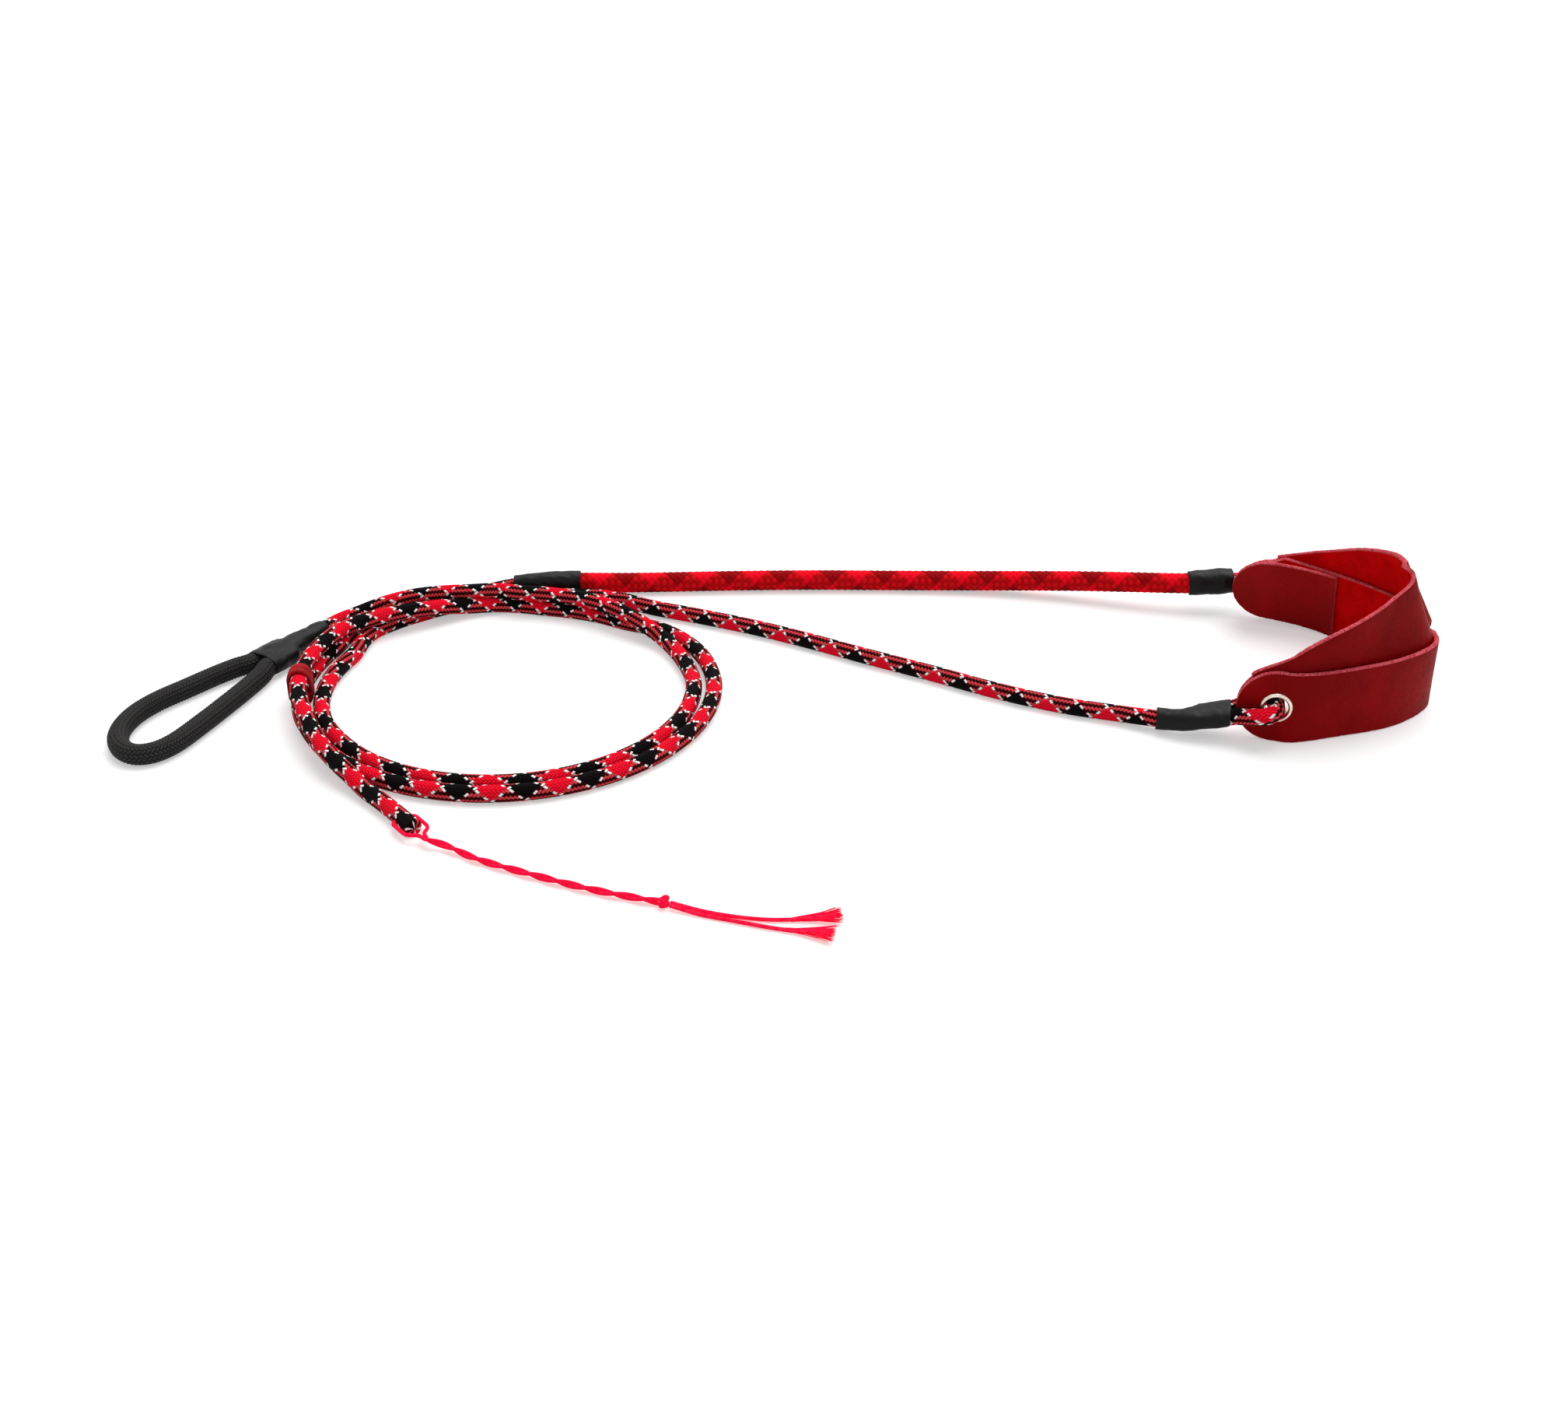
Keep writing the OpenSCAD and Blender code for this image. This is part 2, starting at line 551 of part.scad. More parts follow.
// ---- leather straps ----
// Plan of the pouch: a U from eyelet to eyelet, eleven points that share one counter u
// with the rows below.
flat_l = 5;
plan_points = [
    near_eye, near_eye + flat_l * along, [129.8, -24.6, 0], [142.5, -19.8, 0],
    [152.4, -12.1, 0], [154.6, -4.3, 0], [153.7, 7.4, 0], [147.8, 18.8, 0],
    [139.1, 29.2, 0], far_eye + flat_l * along, far_eye];
// Lean of the lower strap (top edge outwards), and of the upper strap (top edge inwards).
lower_leans = [0, 0, 2, 0, 1, -3, 4, -1, -6.5, -4, 0];
upper_leans = [0, 0, 1.5, 13.5, 20, 22, 31, 22, 9.5, 4, 0];
// Height of the upper strap's middle line; the lower strap stands on its edge.
upper_heights = [9, 12, 17.5, 21.5, 24.4, 27, 25, 20.2, 14, 9.5, 9];
// The upper strap passes over the lower one between these two places.
swap_from = 4.8;
swap_to = 5.1;

last = len(plan_points) - 1;
function flat(p) = [p[0], p[1], 0];
function at(p, u) = let(i = min(last - 1, floor(u)))
    span_at(pick(p, i - 1), p[i], p[i + 1], pick(p, i + 2), u - i);
function held(u) = min(last, max(0, u));
function after(u) = held(u + 0.05);
function before(u) = held(u - 0.05);
function plan_curve(u) = flat(at(plan_points, u));
function plan_dir(u) = unit(plan_curve(after(u)) - plan_curve(before(u)));
function speed(u) =
    norm(plan_curve(after(u)) - plan_curve(before(u))) / (after(u) - before(u));
// Past an eyelet the plan runs straight on.
function plan_at(u) = let(v = held(u)) plan_curve(v) + (u - v) * speed(v) * plan_dir(v);
function outward(u) = let(d = plan_dir(held(u))) [d[1], -d[0], 0];
function swap(u) = 1 - 2 * ease((u - swap_from) / (swap_to - swap_from));
function half_w(u) = strap_w / 2 - far_trim * ease(u - last + 1);
function lean(upper, u) = let(v = held(u)) upper ? at(upper_leans, v) : -at(lower_leans, v);
function mid_z(upper, u) = upper ? at(upper_heights, held(u))
    : strap_w / 2 * cos(lean(false, u)) + leather_t / 2 * abs(sin(lean(false, u)));

// The upper strap keeps clear of the lower one, inside it and then outside it: they are
// nearest at the lowest or the highest level that both of them reach.
function mid_out(upper, u) = let(
    hw = strap_w / 2,
    v = held(u),
    lower = strap_step / 2 * swap(v),
    a = -lean(false, v),
    b = lean(true, v),
    z = mid_z(true, v),
    apart = leather_t / 2 * (1 / cos(a) + 1 / cos(b)) + strap_gap,
    low = min(z - hw * cos(b), 2 * hw * cos(a)),
    high = min(z + hw * cos(b), 2 * hw * cos(a)),
    inside = (low - hw * cos(a)) * tan(a) - (z - low) * tan(b) - apart,
    outside = (high - hw * cos(a)) * tan(a) + (high - z) * tan(b) + apart)
    upper ? lower + inside + (outside - inside) * (1 - swap(v)) / 2 : lower;

// Slope of a strap's middle line.
function slope(upper, u) = atan2(mid_z(upper, after(u)) - mid_z(upper, before(u)),
    speed(u) * (after(u) - before(u)));
// Place on the plan of the point s along the strap and w across it from station u.
function plan_u(upper, u, s, w) = let(b = slope(upper, u))
    u + (s * cos(b) - w * sin(b)) / speed(u);
function strap_point(upper, u, s, w) = let(
    b = slope(upper, u),
    v = plan_u(upper, u, s, w),
    z = mid_z(upper, u) + (s * sin(b) + w * cos(b)) * cos(lean(upper, u)))
    plan_at(v) + z * up
        + (mid_out(upper, v) - (z - mid_z(upper, v)) * tan(lean(upper, v))) * outward(v);
function mid(upper, u) = strap_point(upper, u, 0, 0);
function face_out(upper, v) =
    (outward(v) * cos(lean(upper, v)) + up * sin(lean(upper, v))) * leather_t / 2;

// One cross section: half width hw, at step s past the station u.
function section(upper, u, s, hw) = let(
    low = strap_point(upper, u, s, -hw),
    high = strap_point(upper, u, s, hw),
    low_out = face_out(upper, plan_u(upper, u, s, -hw)),
    high_out = face_out(upper, plan_u(upper, u, s, hw)))
    [low + low_out, high + high_out, high - high_out, low - low_out];
end_steps = 7;
body_steps = 60;
module strap(upper) {
    r0 = half_w(0);
    r1 = half_w(last);
    round_end = [for (i = [0 : end_steps - 1]) 90 * (i + 0.35) / end_steps];
    skin(concat(
        [for (a = round_end) section(upper, 0, -r0 * cos(a), r0 * sin(a))],
        [for (i = [0 : body_steps]) let(u = last * i / body_steps)
            section(upper, u, 0, half_w(u))],
        [for (i = [end_steps - 1 : -1 : 0]) let(a = round_end[i])
            section(upper, last, r1 * cos(a), r1 * sin(a))]));
}
// The hole through both straps, and the seats that the flange and washer press in.
module eyelet_cut(eye) {
    translate(eye) rotate([90, 0, hinge_az - 90]) {
        cylinder(r = eyelet_id / 2 + eyelet_wall + 0.05, h = 12, center = true);
        for (s = [-1, 1]) translate([0, 0, s * (stack_half + 1)])
            cylinder(d = eyelet_od + 0.2, h = 2, center = true);
    }
}
module lower_strap() {
    color("firebrick") difference() {
        strap(false);
        eyelet_cut(near_eye);
        eyelet_cut(far_eye);
    }
}
module upper_strap() {
    color("brown") difference() {
        strap(true);
        eyelet_cut(near_eye);
        eyelet_cut(far_eye);
    }
}

// Cover tab: a leather flap that stands off the stopper and closes on the lower strap.
tab_back = 0.2;
tab_lean = 12;
tab_lift = 1.7;
tab_off = far_pin + stopper_t + 0.35 + leather_t / 2 / cos(tab_lean)
    + (stopper_d / 2 + tab_lift) * tan(tab_lean);
tab_start = far_eye - tab_back * along - tab_off * across + tab_lift * up;
tab_seat_u = 7.74;
tab_steps = 12;
function tab_seat(u) = mid(false, u)
    - outward(u) * (leather_t + 0.1) / cos(lean(false, u));
tab_end = tab_seat(tab_seat_u);
// It leaves along the pouch and lands along the lower strap.
tab_l = norm(tab_end - tab_start);
tab_poles = [
    tab_start, tab_start + tab_l / 3 * unit(flat(tab_end - tab_start) + 3 * along),
    tab_end - tab_l / 3 * unit(flat(tab_seat(tab_seat_u - 0.1) - tab_end)), tab_end];
function tab_mid(t) = let(p = tab_poles, s = 1 - t)
    s * s * s * p[0] + 3 * s * s * t * p[1] + 3 * s * t * t * p[2] + t * t * t * p[3];
function tab_section(t, s, hw) = let(
    d = unit(flat(tab_mid(min(1, t + 0.02)) - tab_mid(max(0, t - 0.02)))),
    out = cross(d, up),
    a = -tab_lean * (1 - t) - lean(false, tab_seat_u) * t,
    high = up * cos(a) - out * sin(a),
    face = cross(d, high) * leather_t / 2,
    c = tab_mid(t) - s * d)
    [c - high * hw + face, c + high * hw + face, c + high * hw - face, c - high * hw - face];
module cover_tab() {
    r = tab_w / 2;
    color("firebrick") skin(concat(
        [for (i = [0 : end_steps - 1]) let(a = 90 * (i + 0.35) / end_steps)
            tab_section(0, r * cos(a), r * sin(a))],
        [for (i = [0 : tab_steps]) tab_section(i / tab_steps, 0, r)]));
}

// ---- eyelets: a flanged barrel and the washer that it is rolled over ----
module eyelet_frame(eye, front) {
    translate(eye) rotate([front * 90, 0, hinge_az - 90]) children();
}
barrel_r = eyelet_id / 2 + eyelet_wall;
module eyelet_body() {
    rotate_extrude() {
        translate([eyelet_id / 2, -stack_half - 2 * flange_t])
            square([eyelet_wall, 2 * stack_half + 3 * flange_t]);
        translate([barrel_r - 0.05, stack_half])
            square([eyelet_od / 2 - barrel_r - flange_t / 2 + 0.05, flange_t]);
        translate([eyelet_od / 2 - flange_t / 2, stack_half + flange_t / 2])
            circle(d = flange_t);
        translate([barrel_r, -stack_half - 1.6 * flange_t]) circle(d = flange_t * 0.8);
    }
}
module washer_body() {
    translate([0, 0, -stack_half - flange_t]) rotate_extrude()
        translate([barrel_r + 0.05, 0]) square([eyelet_od / 2 - barrel_r, flange_t * 0.9]);
}
module near_eyelet() { color("silver") eyelet_frame(near_eye, 1) eyelet_body(); }
module near_washer() { color("silver") eyelet_frame(near_eye, 1) washer_body(); }
module far_eyelet() { color("silver") eyelet_frame(far_eye, -1) eyelet_body(); }
module far_washer() { color("silver") eyelet_frame(far_eye, -1) washer_body(); }

// Least gap of each coil to itself and to the other, measured on the middle lines.
function self_gap(p, skip) = min([
    for (i = [0 : len(p) - 1 - skip], j = [i + skip : len(p) - 1])
        norm(p[i] - p[j])]) - cord_d;
function pair_gap(p, q) = min([for (a = p, b = q) norm(a - b)]) - cord_d;
echo(release_coil_gap = self_gap(fine_path(release_keys), 12));
echo(retention_coil_gap = self_gap(fine_path(retention_keys), 12));
echo(between_coils_gap = pair_gap(fine_path(release_keys), fine_path(retention_keys)));

finger_loop();
loop_sleeve();
retention_lead();
retention_coil();
taper_sleeve();
retention_run();
red_cover();
far_sleeve();
far_stopper();
far_eyelet();
far_washer();
lower_strap();
upper_strap();
cover_tab();
near_eyelet();
near_washer();
near_loop();
near_sleeve();
release_run();
release_coil();
release_tail();
keeper_ring();
cracker_loop();
cracker_twist();
cracker_knot();
tassel(end_points[0], 2);  // tassel_left
tassel(end_points[1], -14);  // tassel_right
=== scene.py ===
# %% [markdown]
# # Dressing a shepherd's sling
# A sling is two cord arms and a pouch. Here the arms are 4 mm patterned braid: one ends
# in a finger loop of black rope, the other in a twisted cracker. The pouch is two leather
# straps that share an eyelet at each end. The CAD model says how big each piece is and
# where it lies, and this lesson dresses it: each surface is worked out with numpy from
# routes and profiles in millimetres, and gets a material of shader nodes.

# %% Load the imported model
import math

import bpy
import numpy as np
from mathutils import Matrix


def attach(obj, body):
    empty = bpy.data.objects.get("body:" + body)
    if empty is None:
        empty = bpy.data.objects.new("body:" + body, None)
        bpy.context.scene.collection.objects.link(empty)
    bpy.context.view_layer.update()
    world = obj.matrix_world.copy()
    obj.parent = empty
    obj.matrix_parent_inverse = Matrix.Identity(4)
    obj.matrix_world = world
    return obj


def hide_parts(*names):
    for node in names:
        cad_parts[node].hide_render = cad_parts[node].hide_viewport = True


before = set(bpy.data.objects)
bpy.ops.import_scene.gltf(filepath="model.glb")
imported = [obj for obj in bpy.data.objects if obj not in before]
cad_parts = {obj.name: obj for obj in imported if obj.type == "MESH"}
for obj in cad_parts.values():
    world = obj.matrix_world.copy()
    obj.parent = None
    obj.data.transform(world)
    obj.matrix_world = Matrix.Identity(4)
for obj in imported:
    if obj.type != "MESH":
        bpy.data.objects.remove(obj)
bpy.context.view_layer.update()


# %% [markdown]
# ## Camera
# The camera comes first, because the braid of the cords is turned to face it. It looks
# along +Y and 29 degrees down, from about half a metre away, so that the coil is seen as
# a flat ellipse with the pouch standing up beside it.

# %% Camera
scene = bpy.context.scene
camera_data = bpy.data.cameras.new("camera")
camera_data.sensor_width = 36
camera_data.lens = 44.64
camera = bpy.data.objects.new("camera", camera_data)
camera.location = (0, -0.4205, 0.2254)
camera.rotation_euler = (math.radians(61), 0, 0)
scene.collection.objects.link(camera)
scene.camera = camera
print("camera at", tuple(camera.location))

# %% [markdown]
# ## Lines in space
# A cord's route is a list of points in millimetres. A Catmull-Rom curve goes through all
# of them, which a Bezier or a fitted B-spline would not, so that the numbers in a route
# say exactly where the cord lies.

# %% Curves through points
MM = 0.001
UP = np.array([0.0, 0.0, 1.0])


def unit(v):
    """v / |v|, row by row."""
    return v / np.linalg.norm(v, axis=-1, keepdims=True)


def span(a, b, c, d, t):
    """Catmull-Rom between b and c: (2b + (c-a)t + (2a-5b+4c-d)t^2 + (3b-a-3c+d)t^3) / 2."""
    return 0.5 * (2 * b + (c - a) * t + (2 * a - 5 * b + 4 * c - d) * t**2
                  + (3 * b - a - 3 * c + d) * t**3)


def with_ends(rows):
    """The rows, with one more row before and behind that carries on straight."""
    rows = np.asarray(rows, float)
    return np.concatenate([2 * rows[:1] - rows[1:2], rows, 2 * rows[-1:] - rows[-2:-1]])


def at(rows, u):
    """Value at counter u of rows that are numbered 0, 1, 2 and so on."""
    r = with_ends(rows)
    u = np.asarray(u, float)
    i = np.clip(np.floor(u).astype(int), 0, len(r) - 4)
    t = (u - i).reshape(u.shape + (1,) * (r.ndim - 1))
    return span(r[i], r[i + 1], r[i + 2], r[i + 3], t)


def curve(points, steps=8):
    """Smooth line through the points, with that many steps to each span."""
    count = (len(points) - 1) * steps
    return at(points, np.arange(count + 1) / steps)


def at_keys(keys, a):
    """Columns 1.. of the key rows at a, where column 0 holds the places of the rows."""
    k = np.asarray(keys, float)
    i = np.clip(np.searchsorted(k[1:, 0], a), 0, len(k) - 2)
    t = (a - k[i, 0]) / (k[i + 1, 0] - k[i, 0])
    return at(k[:, 1:], i + t)


def length_along(path):
    """Length of the line from its start to each point: sum of |p(i+1) - p(i)|."""
    steps = np.linalg.norm(np.diff(path, axis=0), axis=1)
    return np.concatenate([[0.0], np.cumsum(steps)])


def even(path, step):
    """The same line with its points about a step apart, lightly smoothed."""
    s = length_along(path)
    places = np.linspace(0, s[-1], max(2, round(s[-1] / step) + 1))
    line = np.stack([np.interp(places, s, path[:, k]) for k in range(3)], 1)
    line[1:-1] = (line[:-2] + 2 * line[1:-1] + line[2:]) / 4
    return line


def level_frame(path, first=None):
    """Direction t of the line, side = t x up and top = side x t, point by point."""
    t = np.gradient(path, axis=0)
    if first is not None:
        t[0] = first
    t = unit(t)
    side = unit(np.cross(t, UP))
    return t, side, np.cross(side, t)


def ring_angles(count):
    """Angles of that many points round a ring."""
    return 2 * math.pi * np.arange(count) / count


def around(a, e1, e2):
    """cos a e1 + sin a e2."""
    return np.cos(a) * e1 + np.sin(a) * e2


circle = curve([[math.cos(a), math.sin(a), 0] for a in np.linspace(0, 2 * math.pi, 13)])
print("length of a unit circle by this curve:", round(length_along(circle)[-1], 4))

# %% [markdown]
# ## Surfaces
# Every piece of the sling is made of rings of points, round a cord or round the section
# of a sheet. Open ends are closed by fans. The grid becomes faces by counting, without a
# loop over vertices, and the sign of the enclosed volume tells whether they face outwards.

# %% Grids of points
def grid_corners(n, m, row_ring):
    """Corner numbers (point, texture) of the quads between n rings of m points.
    Texture points don't wrap round, so that a pattern has no seam."""
    i, k = np.meshgrid(np.arange(n - (not row_ring)), np.arange(m), indexing="ij")
    corners = list(zip((i, i, i + 1, i + 1), (k, k + 1, k + 1, k)))
    point = [row % n * m + column % m for row, column in corners]
    texture = [row * (m + 1) + column for row, column in corners]
    return (np.stack(point, -1).reshape(-1, 4), np.stack(texture, -1).reshape(-1, 4),
            k.reshape(-1))


def fan_corners(n, m):
    """Corner numbers of the two fans that close the first and the last ring."""
    k = np.arange(m)
    start = np.stack([np.full(m, n * m), (k + 1) % m, k], -1)
    end = np.stack([np.full(m, n * m + 1), (n - 1) * m + k, (n - 1) * m + (k + 1) % m], -1)
    return np.concatenate([start, end])


def ring_texture(rows, columns, along=1.0):
    """Texture points of a tube: u from 0 to 1 round it, v by row to along."""
    v, u = np.meshgrid(np.linspace(0, along, rows), np.linspace(0, 1, columns + 1),
                       indexing="ij")
    return np.stack([u, v], -1)


class Shell:
    """Points and faces of one piece, collected from one grid or from several."""

    def __init__(self):
        self.points, self.faces, self.textures, self.slots, self.count = [], [], [], [], 0

    def add(self, grid, texture=None, row_ring=False, column_slots=None):
        """Adds rings; a negative volume, the sum of a.(b x c)/6, turns the faces round."""
        n, m, _ = grid.shape
        if texture is None:
            texture = ring_texture(n + row_ring, m)
        if column_slots is None:
            column_slots = [0] * m
        flat = grid.reshape(-1, 3)
        quads, quad_uv, column = grid_corners(n, m, row_ring)
        sets = [(quads, texture.reshape(-1, 2)[quad_uv])]
        slots = [np.asarray(column_slots)[column]]
        if not row_ring:
            fans = fan_corners(n, m)
            flat = np.concatenate([flat, grid[:1].mean(1), grid[-1:].mean(1)])
            uv = texture[:, :m].reshape(-1, 2)
            ends = np.stack([texture[0].mean(0), texture[-1].mean(0)])
            sets.append((fans, np.concatenate([uv, ends])[fans]))
            slots.append(np.full(len(fans), max(column_slots)))
        volume = sum((flat[f[:, 0]] * np.cross(flat[f[:, k]], flat[f[:, k + 1]])).sum()
                     for f, _ in sets for k in range(1, f.shape[1] - 1))
        if volume < 0:
            sets = [(f[:, ::-1], t[:, ::-1]) for f, t in sets]
        self.points.append(flat)
        self.faces += [f + self.count for f, _ in sets]
        self.textures += [t for _, t in sets]
        self.slots += slots
        self.count += len(flat)
        return self

    def mesh(self, name):
        """The collected points, in metres, and faces as a Blender mesh."""
        mesh = bpy.data.meshes.new(name)
        faces = [face for block in self.faces for face in block.tolist()]
        mesh.from_pydata((np.concatenate(self.points) * MM).tolist(), [], faces)
        return mesh

    def build(self, name, materials, body, slot, replaces):
        """Makes the piece and says which body and CAD nodes it belongs to."""
        mesh = self.mesh(name)
        corners = np.concatenate([t.reshape(-1, 2) for t in self.textures])
        mesh.uv_layers.new(name="UVMap").data.foreach_set("uv", corners.ravel())
        mesh.polygons.foreach_set("material_index", np.concatenate(self.slots))
        mesh.polygons.foreach_set("use_smooth", np.ones(len(mesh.polygons), bool))
        for material in materials:
            mesh.materials.append(material)
        piece = bpy.data.objects.new(name, mesh)
        scene.collection.objects.link(piece)
        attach(piece, body)
        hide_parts(*replaces)
        print(f"{name}: {len(mesh.polygons)} faces on {body}")
        return piece


def rings(path, radius, sides):
    """Rings c + r (cos a side + sin a top). radius is a number, a row or a grid."""
    _, side, top = level_frame(path)
    if np.ndim(radius) < 2:
        radius = np.reshape(radius, (-1, 1))
    r = np.broadcast_to(radius, (len(path), sides))[..., None]
    return path[:, None] + r * around(ring_angles(sides)[:, None], side[:, None],
                                      top[:, None])


def round_ends(path, radius, reach, steps=4):
    """Path and radii with rings added at both ends: out by reach sin b, radius by cos b."""
    t, _, _ = level_frame(path)
    b = np.linspace(0, math.radians(80), steps + 1)[1:, None]
    before = (path[0] - t[0] * reach * np.sin(b))[::-1]
    after = path[-1] + t[-1] * reach * np.sin(b)
    r = np.broadcast_to(radius, len(path))
    small = np.cos(b[:, 0])
    return (np.concatenate([before, path, after]),
            np.concatenate([r[0] * small[::-1], r, r[-1] * small]))


def lumps(points, size, seed, waves=9):
    """Soft unevenness about zero: twice the mean of sin(w.p + c) over random waves."""
    chance = np.random.default_rng(seed)
    w = unit(chance.normal(size=(waves, 3))) * chance.uniform(0.6, 1.5, (waves, 1))
    c = chance.uniform(0, 2 * math.pi, waves)
    soft = np.sin(points.reshape(-1, 3) @ (w.T * 2 * math.pi / size) + c).mean(-1) * 2
    return soft.reshape(points.shape[:-1])


print("helpers ready: Shell, rings, round_ends, lumps")

# %% [markdown]
# ## Shader helpers
# Materials are wired by code, so a few short helpers keep the formulas readable: each one
# adds a node and hands back its output, and takes sockets and plain numbers alike.

# %% Wires for shader nodes
def linear(r, g, b):
    """A colour given as 0-255 on screen, as the linear numbers that a shader works with:
    c / 12.92 below 0.04045, otherwise ((c + 0.055) / 1.055) ^ 2.4."""
    c = np.array([r, g, b]) / 255
    c = np.where(c < 0.04045, c / 12.92, ((c + 0.055) / 1.055) ** 2.4)
    return (*c.tolist(), 1.0)


class Value:
    """A socket to reckon with: + - * / and < put down Math nodes."""

    def __init__(self, wires, socket):
        self.wires, self.socket = wires, socket

    def __rsub__(self, other):
        return self.wires.calc("SUBTRACT", other, self)


for sign, job in (("add", "ADD"), ("sub", "SUBTRACT"), ("mul", "MULTIPLY"),
                  ("truediv", "DIVIDE"), ("lt", "LESS_THAN")):
    setattr(Value, f"__{sign}__", lambda a, b, job=job: a.wires.calc(job, a, b))


class Wires:
    """Adds nodes to one tree. Its methods take sockets, values and plain numbers."""

    def __init__(self, tree):
        self.tree = tree

    def put(self, socket, value):
        """Links a value to the input, or writes a plain one on it."""
        if isinstance(value, Value):
            self.tree.links.new(value.socket, socket)
        else:
            socket.default_value = value

    def node(self, kind, inputs=(), **settings):
        """A shader node with inputs filled in by name or number, and its properties set."""
        node = self.tree.nodes.new("ShaderNode" + kind)
        for key, value in settings.items():
            setattr(node, key, value)
        for key, value in dict(inputs).items():
            self.put(node.inputs[key], value)
        return node

    def one(self, output, kind, inputs=(), **settings):
        """One output of such a node."""
        return Value(self, self.node(kind, inputs, **settings).outputs[output])

    def outputs(self, node):
        """All outputs of a node, by name."""
        return {socket.name: Value(self, socket) for socket in node.outputs}

    def calc(self, operation, *values):
        """A Math node."""
        return self.one(0, "Math", enumerate(values), operation=operation)

    def mix(self, factor, a, b):
        """Colour a where the factor is 0 and b where it is 1."""
        return self.one(2, "Mix", {0: factor, 6: a, 7: b}, data_type="RGBA")

    def shade(self, colour, amount):
        """The colour times a grey amount."""
        if isinstance(colour, tuple):
            colour = colour[:3]
        return self.one(0, "VectorMath", {0: colour, "Scale": amount}, operation="SCALE")

    def place(self, what="Object"):
        """Coordinates on the piece: its own space in metres, or its UV map."""
        return self.one(what, "TexCoord")

    def stretch(self, vector, scale):
        """The coordinates scaled on each axis."""
        return self.one(0, "Mapping", {"Vector": vector, "Scale": scale})

    def noise(self, vector, scale, detail, rough=0.55, distortion=0.0):
        """Cloudy noise from 0 to 1."""
        return self.one("Fac", "TexNoise", {
            "Vector": vector, "Scale": scale, "Detail": detail, "Roughness": rough,
            "Distortion": distortion})

    def cells(self, vector, scale):
        """Distance to the nearest of scattered points."""
        return self.one("Distance", "TexVoronoi", {"Vector": vector, "Scale": scale})

    def range(self, value, low, high, to_low=0.0, to_high=1.0):
        """Maps low..high to to_low..to_high, with soft ends."""
        return self.one(0, "MapRange", enumerate((value, low, high, to_low, to_high)),
                        interpolation_type="SMOOTHSTEP")

    def bump(self, height, distance):
        """Normal of a surface raised by height times distance, in metres."""
        return self.one(0, "Bump", {"Distance": distance, "Height": height})


def material(name, wire, **plain_values):
    """A material round one Principled shader. wire(w) returns the sockets that vary,
    by input name; the plain values stay on the shader's own sockets."""
    made = bpy.data.materials.new(name)
    made.use_nodes = True
    shader = made.node_tree.nodes["Principled BSDF"]
    w = Wires(made.node_tree)
    for key, value in {**plain_values, **wire(w)}.items():
        w.put(shader.inputs[key.replace("_", " ")], value)
    return made


def group_tree(name, inputs, outputs):
    """An empty shader group with named inputs and float outputs, and its two ends."""
    tree = bpy.data.node_groups.new(name, "ShaderNodeTree")
    for label, kind, default in inputs:
        socket = tree.interface.new_socket(label, in_out="INPUT", socket_type=kind)
        if default is not None:
            socket.default_value = default
    for label in outputs:
        tree.interface.new_socket(label, in_out="OUTPUT", socket_type=FLOAT)
    w = Wires(tree)
    given = w.outputs(tree.nodes.new("NodeGroupInput"))
    return tree, w, given, tree.nodes.new("NodeGroupOutput").inputs


FLOAT, VECTOR = "NodeSocketFloat", "NodeSocketVector"
print("screen colour 200, 20, 30 as linear:", [round(c, 3) for c in linear(200, 20, 30)])

# %% [markdown]
# ## The braid
# A round braid has n carriers of yarn going each way round the cord. With u turns round the
# cord and v pitches along it, A = n(u + v) counts the carriers of one direction and
# B = n(u - v) those of the other. Which one is on top at a crossing depends only on
# k = (floor A + floor B) mod 2w, where w is how many crossings a carrier floats over. The
# same formula serves three finishes here, so it is one shader group. The red cover and the
# black rope also use it in numpy, to raise their yarns as real geometry.

# %% Braid in numpy, for geometry
DIP = 0.75


def braid_height(u, v, carriers, floats):
    """Height 0..1 of the upper yarn: sqrt(1 - x^2) (1 - dip y^4), x across, y along."""
    a, b = carriers * (u + v), carriers * (u - v)
    k = np.mod(np.floor(a) + np.floor(b), 2 * floats)
    first = k < floats
    fa, fb = a - np.floor(a), b - np.floor(b)
    x = 2 * np.where(first, fa, fb) - 1
    y = 2 * np.where(first, k + fb, k - floats + fa) / floats - 1
    return np.sqrt(np.clip(1 - x**2, 0, 1)) * (1 - DIP * y**4)


# %% Braid as a shader group
def make_braid_group():
    """Outputs the height, the share 0..1 of the upper and lower carrier round the
    braiding machine, and the place across and along the upper yarn's float."""
    tree, w, given, out = group_tree(
        "braid", [("UV", VECTOR, None), ("Carriers", FLOAT, 16), ("Floats", FLOAT, 2)],
        ["Height", "Top", "Under", "Across", "Along"])
    u, v, _ = w.outputs(w.node("SeparateXYZ", {0: given["UV"]})).values()
    n, floats = given["Carriers"], given["Floats"]
    a, b = (u + v) * n, (u - v) * n
    whole_a, whole_b = w.calc("FLOOR", a), w.calc("FLOOR", b)
    fa, fb = a - whole_a, b - whole_b
    k = w.calc("FLOORED_MODULO", whole_a + whole_b, floats * 2.0)
    first = k < floats - 0.5

    def choose(if_second, if_first):
        return w.calc("MULTIPLY_ADD", first, if_first - if_second, if_second)

    x = choose(fb, fa) * 2.0 - 1.0
    step = choose(k - floats + fa, k + fb)
    y = step / floats * 2.0 - 1.0
    arch = w.calc("SQRT", w.calc("MAXIMUM", 1.0 - x * x, 0.0))
    dip = 1.0 - w.calc("POWER", w.calc("ABSOLUTE", y), 4.0) * DIP
    share = [w.calc("FLOORED_MODULO", i + 0.01, n) / n for i in (whole_a, whole_b)]
    w.put(out["Height"], arch * dip)
    w.put(out["Top"], choose(share[1], share[0]))
    w.put(out["Under"], choose(share[0], share[1]))
    w.put(out["Across"], x)
    w.put(out["Along"], step)
    return tree


